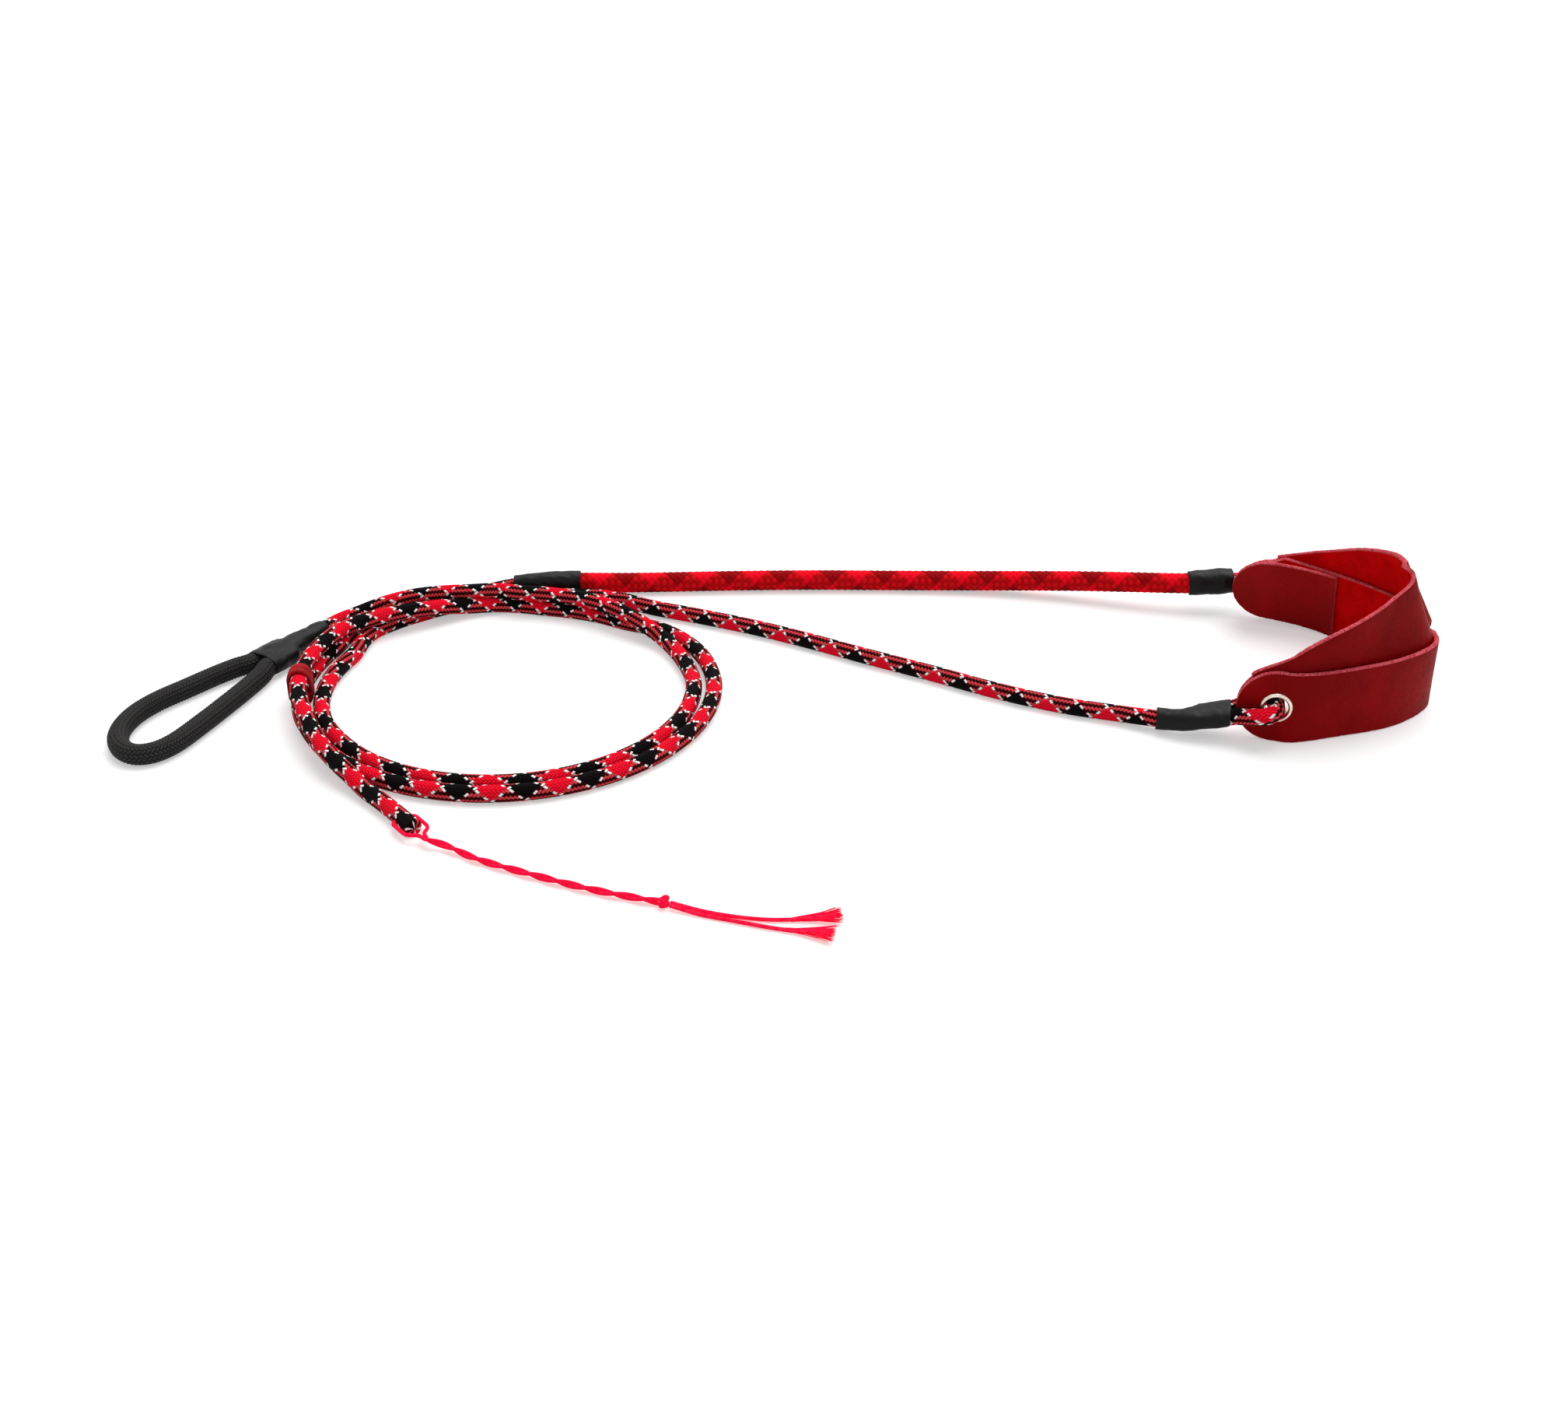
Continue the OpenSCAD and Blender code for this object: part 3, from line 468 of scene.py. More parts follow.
braid = make_braid_group()
print("braid group has", len(braid.nodes), "nodes")

# %% [markdown]
# ## Yarn finishes
# The patterned cord is red, black and white yarn: red on seven carriers, black on seven,
# and white ticks in the middle of the floats of two, the same both ways round. Where red
# crosses black the red is painted paler, as a painted highlight on its yarns, and the black
# is duller. The cover is neon red on half of its carriers and dark red on the others. All
# yarn is a bundle of fine fibres, so it is rough and has hardly any gloss. Each finish
# paints shade into its colour too, darker down in the gaps between the yarns.

# %% Yarn materials
def yarn_braid(w, carriers, floats, size):
    """The braid group on a piece, and fine streaks of that size along its yarns."""
    b = w.outputs(w.node("Group", {"UV": w.place("UV"), "Carriers": carriers,
                                   "Floats": floats}, node_tree=braid))
    lie = w.one(0, "CombineXYZ", {"X": b["Across"] * 5.0, "Y": b["Along"] * 0.8})
    return b, w.noise(lie, size, 2.0)


RED_SHARE, HALF_SHARE, WHITE_SHARE, TICK_HALF = 0.44, 0.49, 0.86, 0.8


def wire_cord(w):
    b, fibres = yarn_braid(w, 16.0, 2.0, 3.0)
    top_red, under_red = b["Top"] < RED_SHARE, b["Under"] < RED_SHARE
    middle = w.calc("ABSOLUTE", b["Along"] - 1.0) < TICK_HALF
    white = middle * w.calc("GREATER_THAN", w.calc("FRACT", b["Top"] * 2.0), WHITE_SHARE)
    mixed = w.calc("ABSOLUTE", top_red - under_red)
    spots = w.noise(w.place(), 900.0, 2.0)
    # red over black is painted paler: a painted highlight on the yarns
    red = w.mix(mixed, linear(255, 16, 46), linear(222, 66, 74))
    black = w.mix(mixed, linear(9, 5, 6), linear(50, 2, 6))
    colour = w.mix(white, w.mix(top_red, black, red), linear(255, 250, 250))
    # painted shade: the colour falls from full on the yarn tops to 0.12 in the gaps between
    # them
    light = w.range(b["Height"], 0.0, 0.6, 0.12, 1.0) * (
        fibres * 0.3 + spots * 0.25 + 0.87)
    return {"Base Color": w.shade(colour, light),
            "Normal": w.bump(fibres * 0.12 + b["Height"], 0.00028),
            "Roughness": w.range(fibres, 0.2, 0.8, 0.6, 0.8)}


def wire_cover(w):
    b, fibres = yarn_braid(w, 8.0, 1.0, 2.5)
    bright, bright_under = b["Top"] < HALF_SHARE, b["Under"] < HALF_SHARE
    spots = w.noise(w.place(), 1400.0, 3.0)
    dull = w.mix(bright_under, linear(158, 6, 12), linear(190, 10, 16))
    # painted highlights: salmon specks scattered at random over the dark fields
    dark = w.mix(w.range(spots, 0.6, 0.75, 0.0, 0.6), dull, linear(215, 52, 54))
    neon = w.mix(bright_under, linear(226, 14, 26), linear(255, 10, 36))
    # painted shade: the colour darkens from the yarn tops down into the gaps between them
    light = w.range(b["Height"], 0.05, 0.6, 0.55, 1.0) * (fibres * 0.2 + 0.98)
    return {"Base Color": w.shade(w.mix(bright, dark, neon), light),
            "Normal": w.bump(fibres + spots * 0.3, 0.00005),
            "Roughness": w.range(fibres, 0.2, 0.8, 0.55, 0.75)}


def wire_rope(w):
    b, fibres = yarn_braid(w, 16.0, 2.0, 3.0)
    # painted highlights and shade: the grey base shows only on the tops of the yarns and
    # falls nearly to black in the gaps
    light = w.range(b["Height"], 0.45, 1.0, 0.06, 1.0) * (fibres * 0.9 + 0.55)
    return {"Base Color": w.shade(linear(50, 48, 47), light),
            "Normal": w.bump(fibres, 0.00004),
            "Roughness": w.range(fibres, 0.2, 0.8, 0.45, 0.62)}


cord_yarn = material("patterned_braid", wire_cord, Specular_IOR_Level=0.04)
cover_yarn = material("red_cover_braid", wire_cover, Specular_IOR_Level=0.03)
rope_yarn = material("black_rope_braid", wire_rope, Specular_IOR_Level=0.16)
print("yarn finishes:", cord_yarn.name, cover_yarn.name, rope_yarn.name)

# %% [markdown]
# ## Frames of the cord ends
# The cord turns tightly where it comes out of an eyelet: on both sides of the near one, and
# on one side of the far one. It is easiest to draw in a frame whose origin is the eyelet's
# middle, whose Y is the eyelet's axis and whose +X leads away from the pouch, tilted a
# little down to the table.

# %% Placing points in a turned frame
CORD_D, COVER_R, ROPE_R = 4.0, 2.6, 2.35
CORD_R = CORD_D / 2
LEATHER_T, STRAP_W, STRAP_GAP, FAR_TRIM = 1.2, 18.0, 0.1, 1.6
NEAR_EYE, FAR_EYE = np.array([113.8, -26.3, 9.0]), np.array([125.3, 37.5, 9.0])
FLAT = np.array([1.0, 1.0, 0.0])


def heading(azimuth):
    """The level direction of that azimuth."""
    return np.array([math.cos(azimuth), math.sin(azimuth), 0.0])


def azimuth_of(start, end):
    return math.atan2(*(end - start)[1::-1])


HINGE_AZ = azimuth_of(NEAR_EYE, FAR_EYE)
ARM_AZ = HINGE_AZ + math.pi / 2
ACROSS = heading(HINGE_AZ)
ALONG = np.cross(ACROSS, UP)


def placed(points, origin, azimuth, tilt=0.0):
    """Points of a frame at origin whose X points along azimuth and down by tilt."""
    x, y, z = np.asarray(points, float).reshape(-1, 3).T
    ahead = x * math.cos(tilt) + z * math.sin(tilt)
    rise = z * math.cos(tilt) - x * math.sin(tilt)
    c, s = math.cos(azimuth), math.sin(azimuth)
    return np.stack([ahead * c - y * s, ahead * s + y * c, rise], 1) + origin


BEND_R, PIN_HALF = 2.6, 2.25
NEAR_ANGLE, NEAR_TILT = math.radians(23), math.radians(17)
FAR_ANGLE, FAR_TILT = math.radians(8), math.radians(5)


def elbow(side, angle, steps=4):
    """Quarter turn out of an eyelet: x = r + r cos a, y = pin + r sin a."""
    a = math.pi - (math.pi / 2 + angle) * np.arange(steps + 1) / steps
    return np.stack([BEND_R + BEND_R * np.cos(a),
                     side * (PIN_HALF + BEND_R * np.sin(a)), 0 * a], 1)


def leg_place(angle):
    """Where the straight leg starts, and how far from the middle it is at x."""
    x0 = BEND_R * (1 + math.sin(angle))
    y0 = PIN_HALF + BEND_R * math.cos(angle)
    return x0, y0, lambda x: y0 - (x - x0) * math.tan(angle)


near_x, near_y, near_leg = leg_place(NEAR_ANGLE)
far_leg = leg_place(FAR_ANGLE)[2]
BESIDE = CORD_R + 0.03
NEAR_TOUCH = near_x + (near_y - BESIDE) / math.tan(NEAR_ANGLE)
FAR_MOUTH = STRAP_W / 2 - FAR_TRIM + 0.9
FAR_COVER, FAR_SLEEVE_END = FAR_MOUTH + 2.5, FAR_MOUTH + 11.6
FAR_PIN = PIN_HALF + 0.32


def near_point(points):
    return placed(points, NEAR_EYE, ARM_AZ, NEAR_TILT)


def far_point(points):
    return placed(points, FAR_EYE, ARM_AZ, FAR_TILT)


def near_floor(points):
    """Points of the near arm (ahead, sideways, height above the table)."""
    return placed(points, NEAR_EYE * FLAT, ARM_AZ)


print("near legs touch", round(NEAR_TOUCH, 2), "mm from the eyelet")

# %% [markdown]
# ## The coil
# Both arms lie in one flat coil. Each turn is given by rows of angle, step outwards from
# the 45 mm inner turn, and height where the cord leaves the table, so that a crossing is a
# few numbers: there the upper cord rises by about a diameter. The covered cord goes on to
# the cracker and the plain one to the finger loop; their solids fill the same coil.

# %% Routes of the two arms
COIL_R = 45.0
COIL_MIDDLE = np.array([-66.3, -4.7, 0.0])
LOW = 1.93
LACE_T, LACE_GAP = 0.8, 0.15
LIFT_Z = CORD_R + LACE_T + LACE_GAP
STACK_Z = LIFT_Z + CORD_D + 0.1
LACE_LANE = 4.9
CORD_STEP, COVER_STEP, ROPE_STEP = 0.8, 0.32, 0.22

COVERED_KEYS = [
    (86, 13.4, 3.2), (94, 11.9, 3), (100, 11, 2.4), (106, 10.3), (112, 9.7), (118, 9.1),
    (124, 8.6), (131, 8.5), (138, 8.8), (145, 8.4, 2.1), (151, 6.6, 2.6),
    (157, LACE_LANE, LIFT_Z), (180, LACE_LANE, LIFT_Z), (198, LACE_LANE, LIFT_Z),
    (206, 4.4, 2.4), (215, 4.2), (225, 4.3), (250, 4.4), (300, 4.4), (355, 4.4),
    (363.7, 4.3), (372.5, 4), (380.7, 3.8), (389, 3.3), (395.4, 2.7), (401, 2), (405.3, 1),
    (412.7, -1), (419, -1.5), (425.6, -1.3), (431.5, -1.3), (445, -0.8), (453.7, 0.7),
    (462, 1.9, 2.1), (470, 1.8, 2.6), (478, 1.3, 3.9), (484.4, 1.4, 4.6), (491, 2.3, 5.1),
    (495.3, 3.2, 5.4), (503.8, 4.5, 5.85), (510.7, 5.2, 6.5), (517, LACE_LANE, STACK_Z),
    (540, LACE_LANE, STACK_Z), (556, LACE_LANE, STACK_Z), (567, 4.8, 6.7),
    (576.6, 5.8, 6.1), (584.3, 6.8, 5.2), (590.5, 7.6, 4.3), (596, 8.3, 3.2),
    (601, 9.6, 2.5)]
PLAIN_KEYS = [
    (52, 13.5), (64, 9.5), (72, 8.7), (80, 7.4), (88, 6.4), (96, 5.6), (104, 5.8),
    (110, 5.6), (118, 5), (124, 4.6), (131, 4.6), (136, 4.5), (142, 4.4), (148, 2.9),
    (153, 1.1), (156.5, 0.05), (160, -0.15), (170, -0.05), (200, 0), (214, -0.4),
    (222, -0.4), (240, -0.2), (300, 0), (355, -0.5), (362, -0.6), (377, -1.3),
    (386.6, -1.4, 2.1), (397, -1.6, 2.9), (403.5, -2.2, 4.1), (410, -2.7, 5.1),
    (418, -2.5, 5.7), (425, -1.9, 5.93), (431, -1.35, 5.93), (440, -1, 5.85),
    (445.4, -0.4, 5.85), (453, 0.2, 5.9), (461.5, 3, 5.7), (469.4, 3.6, 5.9),
    (476.7, 6.2, 5.6), (483.6, 7.4, 5.9), (490.6, 8.6, 5.8), (494, 10, 5.2),
    (497.7, 12.3, 3.9), (505, 13.4, 3.2)]


def coil_line(keys, step=3.0):
    """Points middle + (R + out)(cos a, sin a) at the height of the rows, by angle a."""
    keys = [(*row, LOW)[:3] for row in keys]
    a = np.arange(keys[1][0], keys[-2][0] + step / 2, step)
    out, z = at_keys(keys, a).T
    r, turn = COIL_R + out, np.radians(a)
    return COIL_MIDDLE + np.stack([r * np.cos(turn), r * np.sin(turn), z], 1)


covered_turns = coil_line(COVERED_KEYS)
plain_turns = coil_line(PLAIN_KEYS)

TAPER_AT = np.array([-54.5, 52.9, COVER_R + 0.45])
TAPER_AZ = math.radians(183)
RUN_POINTS = np.array([
    *far_point([[FAR_COVER, -far_leg(FAR_COVER), 0],
                [FAR_SLEEVE_END, -far_leg(FAR_SLEEVE_END), 0]]),
    [93, 46.1, 6.3], [80, 49.3, 5.1], [66, 52.1, 3.9], [50, 54.1, 3],
    [30, 55.1, COVER_R], [8, 55.4, COVER_R], [-14, 54.9, COVER_R],
    [-36, 53.9, COVER_R], [-47, 53.3, COVER_R + 0.2], TAPER_AT,
    TAPER_AT + heading(TAPER_AZ) * 7])

GRIP_Z = ROPE_R + 0.45
GRIP_MOUTH, GRIP_END = np.array([-129.2, 6, GRIP_Z]), np.array([-117.9, 25.4, GRIP_Z])
GRIP_AZ = azimuth_of(GRIP_MOUTH, GRIP_END)
LEAD_POINTS = np.array([plain_turns[-1], [-114.6, 29.9, 3.0], GRIP_END,
                        GRIP_END - heading(GRIP_AZ) * 9])
TIP_AZ = math.radians(-51.5)
TIP_DIR = heading(TIP_AZ)
TIP_END = np.array([-79.4, -68.1, LOW])
TIP_EYE = TIP_END - TIP_DIR * 4.6
TAIL_POINTS = np.array([covered_turns[-1], [-92.4, -53, 2.2], [-88.4, -57.2, 2.0],
                        TIP_END - TIP_DIR * 7, TIP_END])
far_bend = far_point([[0, FAR_PIN + 0.5, 0], [0, 0, 0], *elbow(-1, FAR_ANGLE),
                      [6, -far_leg(6), 0], [9, -far_leg(9), 0]])
covered_line = even(np.concatenate([
    curve(np.concatenate([far_bend, RUN_POINTS]))[:-1], covered_turns,
    curve(TAIL_POINTS)[1:]]), CORD_STEP)


def near_side(side):
    """One side of the near loop, from the eyelet's mouth down into the sleeve."""
    return np.concatenate([
        near_point([*elbow(side, NEAR_ANGLE), [6.7, side * near_leg(6.7), 0],
                    [NEAR_TOUCH, side * BESIDE, 0]]),
        near_floor([[12, side * BESIDE, 5.45], [14.5, side * BESIDE, 4.9],
                    [17, side * BESIDE, 4.4]])])


near_bend = np.concatenate([near_side(-1)[::-1], near_point([[0, 0, 0]]), near_side(1),
                            near_floor([[21.5, 1.5, 3.65], [26.6, 0.2, 2.9]])])
STRAIGHT_POINTS = np.array([
    *near_bend, [78, -17.7, 2.2], [66, -13.3, LOW], [52, -6.5, LOW],
    [36, 3.1, LOW], [20, 12.3, LOW], [6, 20.7, LOW], [-8, 28.3, LOW],
    [-22, 34.6, LOW], [-34, 39.5, LOW], plain_turns[0]])
plain_line = even(np.concatenate([
    curve(STRAIGHT_POINTS)[:-1], plain_turns, curve(LEAD_POINTS)[1:]]), CORD_STEP)


def tightest_bend(line):
    """Smallest radius along the line: step length over change of direction."""
    steps = np.diff(line, axis=0)
    turn = np.arccos(np.clip((unit(steps[1:]) * unit(steps[:-1])).sum(1), -1, 1))
    return float((np.linalg.norm(steps[1:], axis=1) / np.maximum(turn, 1e-6)).min())


for label, line in (("covered", covered_line), ("plain", plain_line)):
    print(label, "cord is", round(length_along(line)[-1], 1), "mm long, tightest bend",
          round(tightest_bend(line), 1), "mm")

# %% [markdown]
# ## Dressing the arms
# Each arm is one tube from end to end, as the real cord is one braid. Its texture runs in
# turns round the cord and pitches along it. A real cord twists as it is coiled, so the
# number of turns drifts along its length, by a short table of length and of the carrier
# that faces the viewer.

# %% The two patterned cords
CORD_PITCH = 14.6
COVERED_SEEN = [(0, 0.47), (245, 0.47), (290, 0.14), (420, 0.14), (450, 0.22),
                (480, 0.3), (500, 0.36), (545, 0.36), (570, 0.22), (700, 0.22)]
PLAIN_SEEN = [(0, 0.34), (40, 0.34), (62, 0.57), (190, 0.57), (215, 0.49), (280, 0.49),
              (305, 0.72), (450, 0.72), (472, 0.95), (545, 0.95), (572, 0.82),
              (700, 0.82)]
NO_TWIST = [(0, 0), (999, 0)]
ROUND_REACH = 0.6


def facing(line, rows):
    """Turns at each length s that bring u = seen(s) to the side the camera sees:
    seen(s) - phi(s) / 2 pi, with phi the camera's angle round the cord."""
    _, side, top = level_frame(line)
    ahead = np.array(camera.location) / MM - line
    phi = np.unwrap(np.arctan2((ahead * top).sum(1), (ahead * side).sum(1)))
    s = length_along(line)
    return np.stack([s, np.interp(s, *np.array(rows, float).T) - phi / (2 * math.pi)], 1)


def cord_texture(line, sides, pitch, twist):
    """u = a / 2 pi + twist(s) turns and v = s / pitch, for length s along the cord."""
    s = length_along(line)
    turns = np.interp(s, *np.array(twist, float).T)
    u = turns[:, None] + np.arange(sides + 1) / sides
    return np.stack([u, np.broadcast_to((s / pitch)[:, None], u.shape)], -1)


def cord_piece(name, line, radius, sides, yarn, pitch, body, slot, replaces,
               twist=NO_TWIST, relief=None):
    """A tube round the line with rounded ends; relief(u, v) raises its yarns."""
    path, r = round_ends(line, radius, ROUND_REACH)
    texture = cord_texture(path, sides, pitch, twist)
    radii = r[:, None]
    if relief is not None:
        u, v = texture[:, :-1, 0], texture[:, :-1, 1]
        radii = radii + relief(u, v) * (r / radius)[:, None]
    return Shell().add(rings(path, radii, sides), texture).build(
        name, [yarn], body, slot, replaces)


SIDES = 28
covered_cord = cord_piece(
    "covered_cord", covered_line, CORD_R, SIDES, cord_yarn, CORD_PITCH, "arms", "cord",
    ["far_stopper", "retention_run", "retention_coil", "release_tail"],
    facing(covered_line, COVERED_SEEN))
plain_cord = cord_piece(
    "plain_cord", plain_line, CORD_R, SIDES, cord_yarn, CORD_PITCH, "arms", "cord",
    ["near_loop", "release_run", "release_coil", "retention_lead"],
    facing(plain_line, PLAIN_SEEN))

# %% [markdown]
# ## The red cover and the black rope
# The stretch next to the pouch wears a second, coarser braid, and the finger loop is a
# thick black rope. Their yarns are wide enough to see one by one, so here the braid
# formula lifts real geometry, with a ring each 0.2 or 0.3 mm.

# %% Cover and finger loop
COVER_PITCH, ROPE_PITCH = 13.9, 13.0


def raised(height, sink, carriers, floats):
    """Relief of a braid: its yarns rise by height from a tube that is sunk a little."""
    return lambda u, v: height * braid_height(u, v, carriers, floats) - sink


cover_line = even(curve(RUN_POINTS), COVER_STEP)
cord_piece("red_cover_braid", cover_line, COVER_R, 56, cover_yarn, COVER_PITCH, "arms",
           "cover", ["red_cover"], relief=raised(0.3, 0.2, 8, 1))

ROPE_Z = ROPE_R - 0.05
ROPE_HALF = ROPE_R + 0.1
LOOP_POINTS = np.concatenate([
    placed([[8, ROPE_HALF, 0], [0, ROPE_HALF, 0]], GRIP_MOUTH, GRIP_AZ),
    UP * ROPE_Z + [
        (-135.2, 4.7, 0.2), (-139.4, 0.7, 0), (-144.4, -5.5, 0), (-150, -12.5, 0),
        (-153.5, -19.5, 0), (-154.5, -26.8, 0), (-152.8, -33.2, 0), (-148.9, -37.2, 0),
        (-144.3, -36.8, 0), (-140.2, -32.1, 0), (-136.2, -22.5, 0), (-132.5, -12.5, 0),
        (-129.6, -4.1, 0), (-128, 0.7, 0.2)],
    placed([[0, -ROPE_HALF, 0], [8, -ROPE_HALF, 0]], GRIP_MOUTH, GRIP_AZ)])
rope_line = even(curve(LOOP_POINTS), ROPE_STEP)
finger_rope = cord_piece(
    "finger_rope", rope_line, ROPE_R, 96, rope_yarn, ROPE_PITCH, "arms", "black_rope",
    ["finger_loop"], relief=raised(0.42, 0.28, 16, 2))
print("finger loop rope is", round(length_along(rope_line)[-1]), "mm long")

# %% [markdown]
# ## Shrink sleeves
# Black heat-shrink tube holds the cord ends together. It takes the shape of what is under
# it: wide and flat over two cords, round over one, and never quite even. Each sleeve is a
# row of superellipses, |y/a|^(2/p) + |z/b|^(2/p) = 1, along its axis, with soft lumps, and
# its rims turn inwards so that the wall of the tube shows.

# %% Sleeve surfaces
def sleeve_wire(w):
    place = w.place()
    cloud = w.noise(place, 260.0, 4.0)
    fine = w.noise(place, 2600.0, 2.0)
    # paler grey patches scattered at random over the black tube
    pale_patches = w.range(w.noise(place, 620.0, 4.0, 0.7), 0.58, 0.74)
    colour = w.mix(pale_patches * 0.4, linear(10, 9, 9), linear(44, 41, 40))
    return {"Base Color": w.shade(colour, w.range(cloud, 0.3, 0.7, 0.8, 1.2)),
            "Roughness": w.range(cloud, 0.3, 0.7, 0.38, 0.5),
            "Normal": w.bump(fine * 0.1 + cloud, 0.00016)}


shrink = material("shrink_tube", sleeve_wire, Specular_IOR_Level=0.15)
SLEEVE, SLEEVE_WALL, RIM_DEPTH = 0.45, 0.4, 2.0
SLEEVE_SIDES, SLEEVE_POWER = 64, 0.85
BIG_LUMP, SMALL_LUMP = 5.5, 2.2
RIM = [(RIM_DEPTH, -SLEEVE_WALL), (0.2, -SLEEVE_WALL), (0.0, -0.5 * SLEEVE_WALL),
       (0.05, -0.1 * SLEEVE_WALL)]


def squircle(sides, power):
    """(y, z) of a superellipse of size 1, from cos and sin to the power."""
    a = ring_angles(sides)
    return [np.sign(f) * np.abs(f) ** power for f in (np.cos(a), np.sin(a))]


def sleeve_piece(name, rows, origin, azimuth, tilt, replaces, seed, lump=0.1):
    """rows are (x, half width, half height, middle y, middle z), smoothed along x; the
    last two may be left out."""
    keys = np.array([(*row, 0.0, 0.0)[:5] for row in rows])
    x = np.linspace(keys[0, 0], keys[-1, 0], 60)
    sections = [(x[0] + dx, 0, grow) for dx, grow in RIM]
    sections += [(x[i], i, 0.0) for i in range(1, len(x) - 1)]
    sections += [(x[-1] - dx, -1, grow) for dx, grow in RIM[::-1]]
    along, pick, grow = zip(*sections)
    wide, high, middle, lift = at_keys(keys, x)[list(pick)].T[:, :, None]
    grow = np.array(grow)[:, None]
    cy, sz = squircle(SLEEVE_SIDES, SLEEVE_POWER)
    y, z = middle + (wide + grow) * cy, lift + (high + grow) * sz
    local = np.stack([np.broadcast_to(np.array(along)[:, None], y.shape), y, z], -1)
    soft = lumps(local, BIG_LUMP, seed) + 0.5 * lumps(local, SMALL_LUMP, seed + 1)
    local[..., 1] += lump * soft * cy
    local[..., 2] += lump * soft * sz
    grid = placed(local, origin, azimuth, tilt).reshape(local.shape)
    return Shell().add(grid).build(name, [shrink], "arms", "sleeve", replaces)


sleeve_piece("near_shrink_sleeve", [
    (10.1, 4.45, 2.4, 0, 5.93), (12, 4.48, 2.5, 0, 5.45), (15, 4.4, 2.5, 0.05, 4.8),
    (17.2, 4.1, 2.5, 0.35, 4.36), (19, 3.3, 2.5, 1.1, 4.05), (21.5, 2.6, 2.5, 1.45, 3.65),
    (24, 2.5, 2.48, 0.95, 3.28), (26.8, 2.5, 2.46, 0.15, 2.9)],
    NEAR_EYE * FLAT, ARM_AZ, 0.0, ["near_sleeve"], 11)

cover_end, cord_end, rope_high = COVER_R + SLEEVE, CORD_R + SLEEVE, ROPE_R + SLEEVE
rope_wide = 2 * ROPE_R + 0.1 + SLEEVE
sleeve_piece("far_shrink_sleeve", [
    (0, cover_end - 0.1, cover_end - 0.1), (0.4, cover_end, cover_end),
    (3.4, cover_end + 0.3, cover_end + 0.25), (6.4, cover_end + 0.1, cover_end + 0.1),
    (9, cover_end + 0.2, cover_end + 0.2),
    (FAR_SLEEVE_END - FAR_MOUTH, cover_end, cover_end)],
    far_point([[FAR_MOUTH, -far_leg(FAR_MOUTH), 0]])[0], ARM_AZ + FAR_ANGLE, FAR_TILT,
    ["far_sleeve"], 21)
sleeve_piece("taper_shrink_sleeve", [
    (0, cover_end, cover_end), (3.5, cover_end + 0.15, cover_end + 0.05),
    (7, cover_end, cover_end), (10, cover_end - 0.15, cover_end - 0.15),
    (15.8, cord_end, cord_end), (17.8, cord_end - 0.1, cord_end - 0.1)],
    TAPER_AT, TAPER_AZ, 0.0, ["taper_sleeve"], 31)
sleeve_piece("loop_shrink_sleeve", [
    (0, rope_wide, rope_high - 0.05), (4, rope_wide + 0.05, rope_high),
    (8, rope_wide - 0.2, rope_high), (10, rope_wide - 1.6, rope_high),
    (12.5, cord_end + 0.7, cord_end + 0.3), (14.5, cord_end + 0.25, cord_end + 0.2),
    (22.5, cord_end, cord_end)],
    GRIP_MOUTH, GRIP_AZ, 0.0, ["loop_sleeve"], 41, lump=0.14)

# %% [markdown]
# ## The leather pouch
# The pouch is one U on the table, from eyelet to eyelet, and two straps follow it. The
# lower strap stands on its edge. The upper one climbs over it, leans in, and passes from
# its inner to its outer side at the bend. A strap is a sheet of cross lines: a point w
# across the strap and s past station u stands on the plan where the slope has carried it,
# and leans with the others of its height. Both straps are 18 mm wide, and a little
# narrower at the far eyelet.

# %% Plan of the pouch
PLAN = np.array([
    NEAR_EYE, NEAR_EYE + 5 * ALONG, [129.8, -24.6, 0], [142.5, -19.8, 0],
    [152.4, -12.1, 0], [154.6, -4.3, 0], [153.7, 7.4, 0], [147.8, 18.8, 0],
    [139.1, 29.2, 0], FAR_EYE + 5 * ALONG, FAR_EYE])
PLAN[:, 2] = 0
LOWER_LEAN = np.array([0, 0, 2, 0, 1, -3, 4, -1, -6.5, -4, 0.0])
UPPER_LEAN = np.array([0, 0, 1.5, 13.5, 20, 27, 31, 22, 9.5, 4, 0.0])
UPPER_Z = np.array([9, 13.6, 18.9, 22.0, 24.4, 27, 25, 20.2, 14, 9.5, 9.0])
SWAP_FROM, SWAP_TO = 4.8, 5.1
LAST = len(PLAN) - 1
HALF = STRAP_W / 2


def ease(t):
    """3 t^2 - 2 t^3 between 0 and 1."""
    t = np.clip(t, 0, 1)
    return t * t * (3 - 2 * t)


def held(u):
    return np.clip(u, 0, LAST)


def slope_of(f, u):
    """(f(u + h) - f(u - h)) / 2h, one-sided at the ends."""
    hi, lo = held(u + 0.05), held(u - 0.05)
    difference = f(hi) - f(lo)
    return difference / (hi - lo).reshape((-1,) + (1,) * (difference.ndim - 1))


def plan_curve(u):
    return at(PLAN, u) * FLAT


def plan_speed(u):
    return np.linalg.norm(slope_of(plan_curve, held(u)), axis=-1)


def plan_at(v):
    """The plan; past an eyelet it runs straight on."""
    c = held(v)
    return plan_curve(c) + (v - c)[:, None] * slope_of(plan_curve, c)


def outward(u):
    d = unit(slope_of(plan_curve, held(u)))
    return np.stack([d[:, 1], -d[:, 0], 0 * d[:, 0]], 1)


def swap(u):
    """+1 where the lower strap is outside, -1 where it is inside."""
    return 1 - 2 * ease((u - SWAP_FROM) / (SWAP_TO - SWAP_FROM))


def lean(upper, u):
    """Lean in radians, top edge inwards positive."""
    return np.radians(at(UPPER_LEAN, held(u)) if upper else -at(LOWER_LEAN, held(u)))


def middle_z(upper, u):
    if upper:
        return at(UPPER_Z, held(u))
    a = lean(False, u)
    return HALF * np.cos(a) + LEATHER_T / 2 * np.abs(np.sin(a))


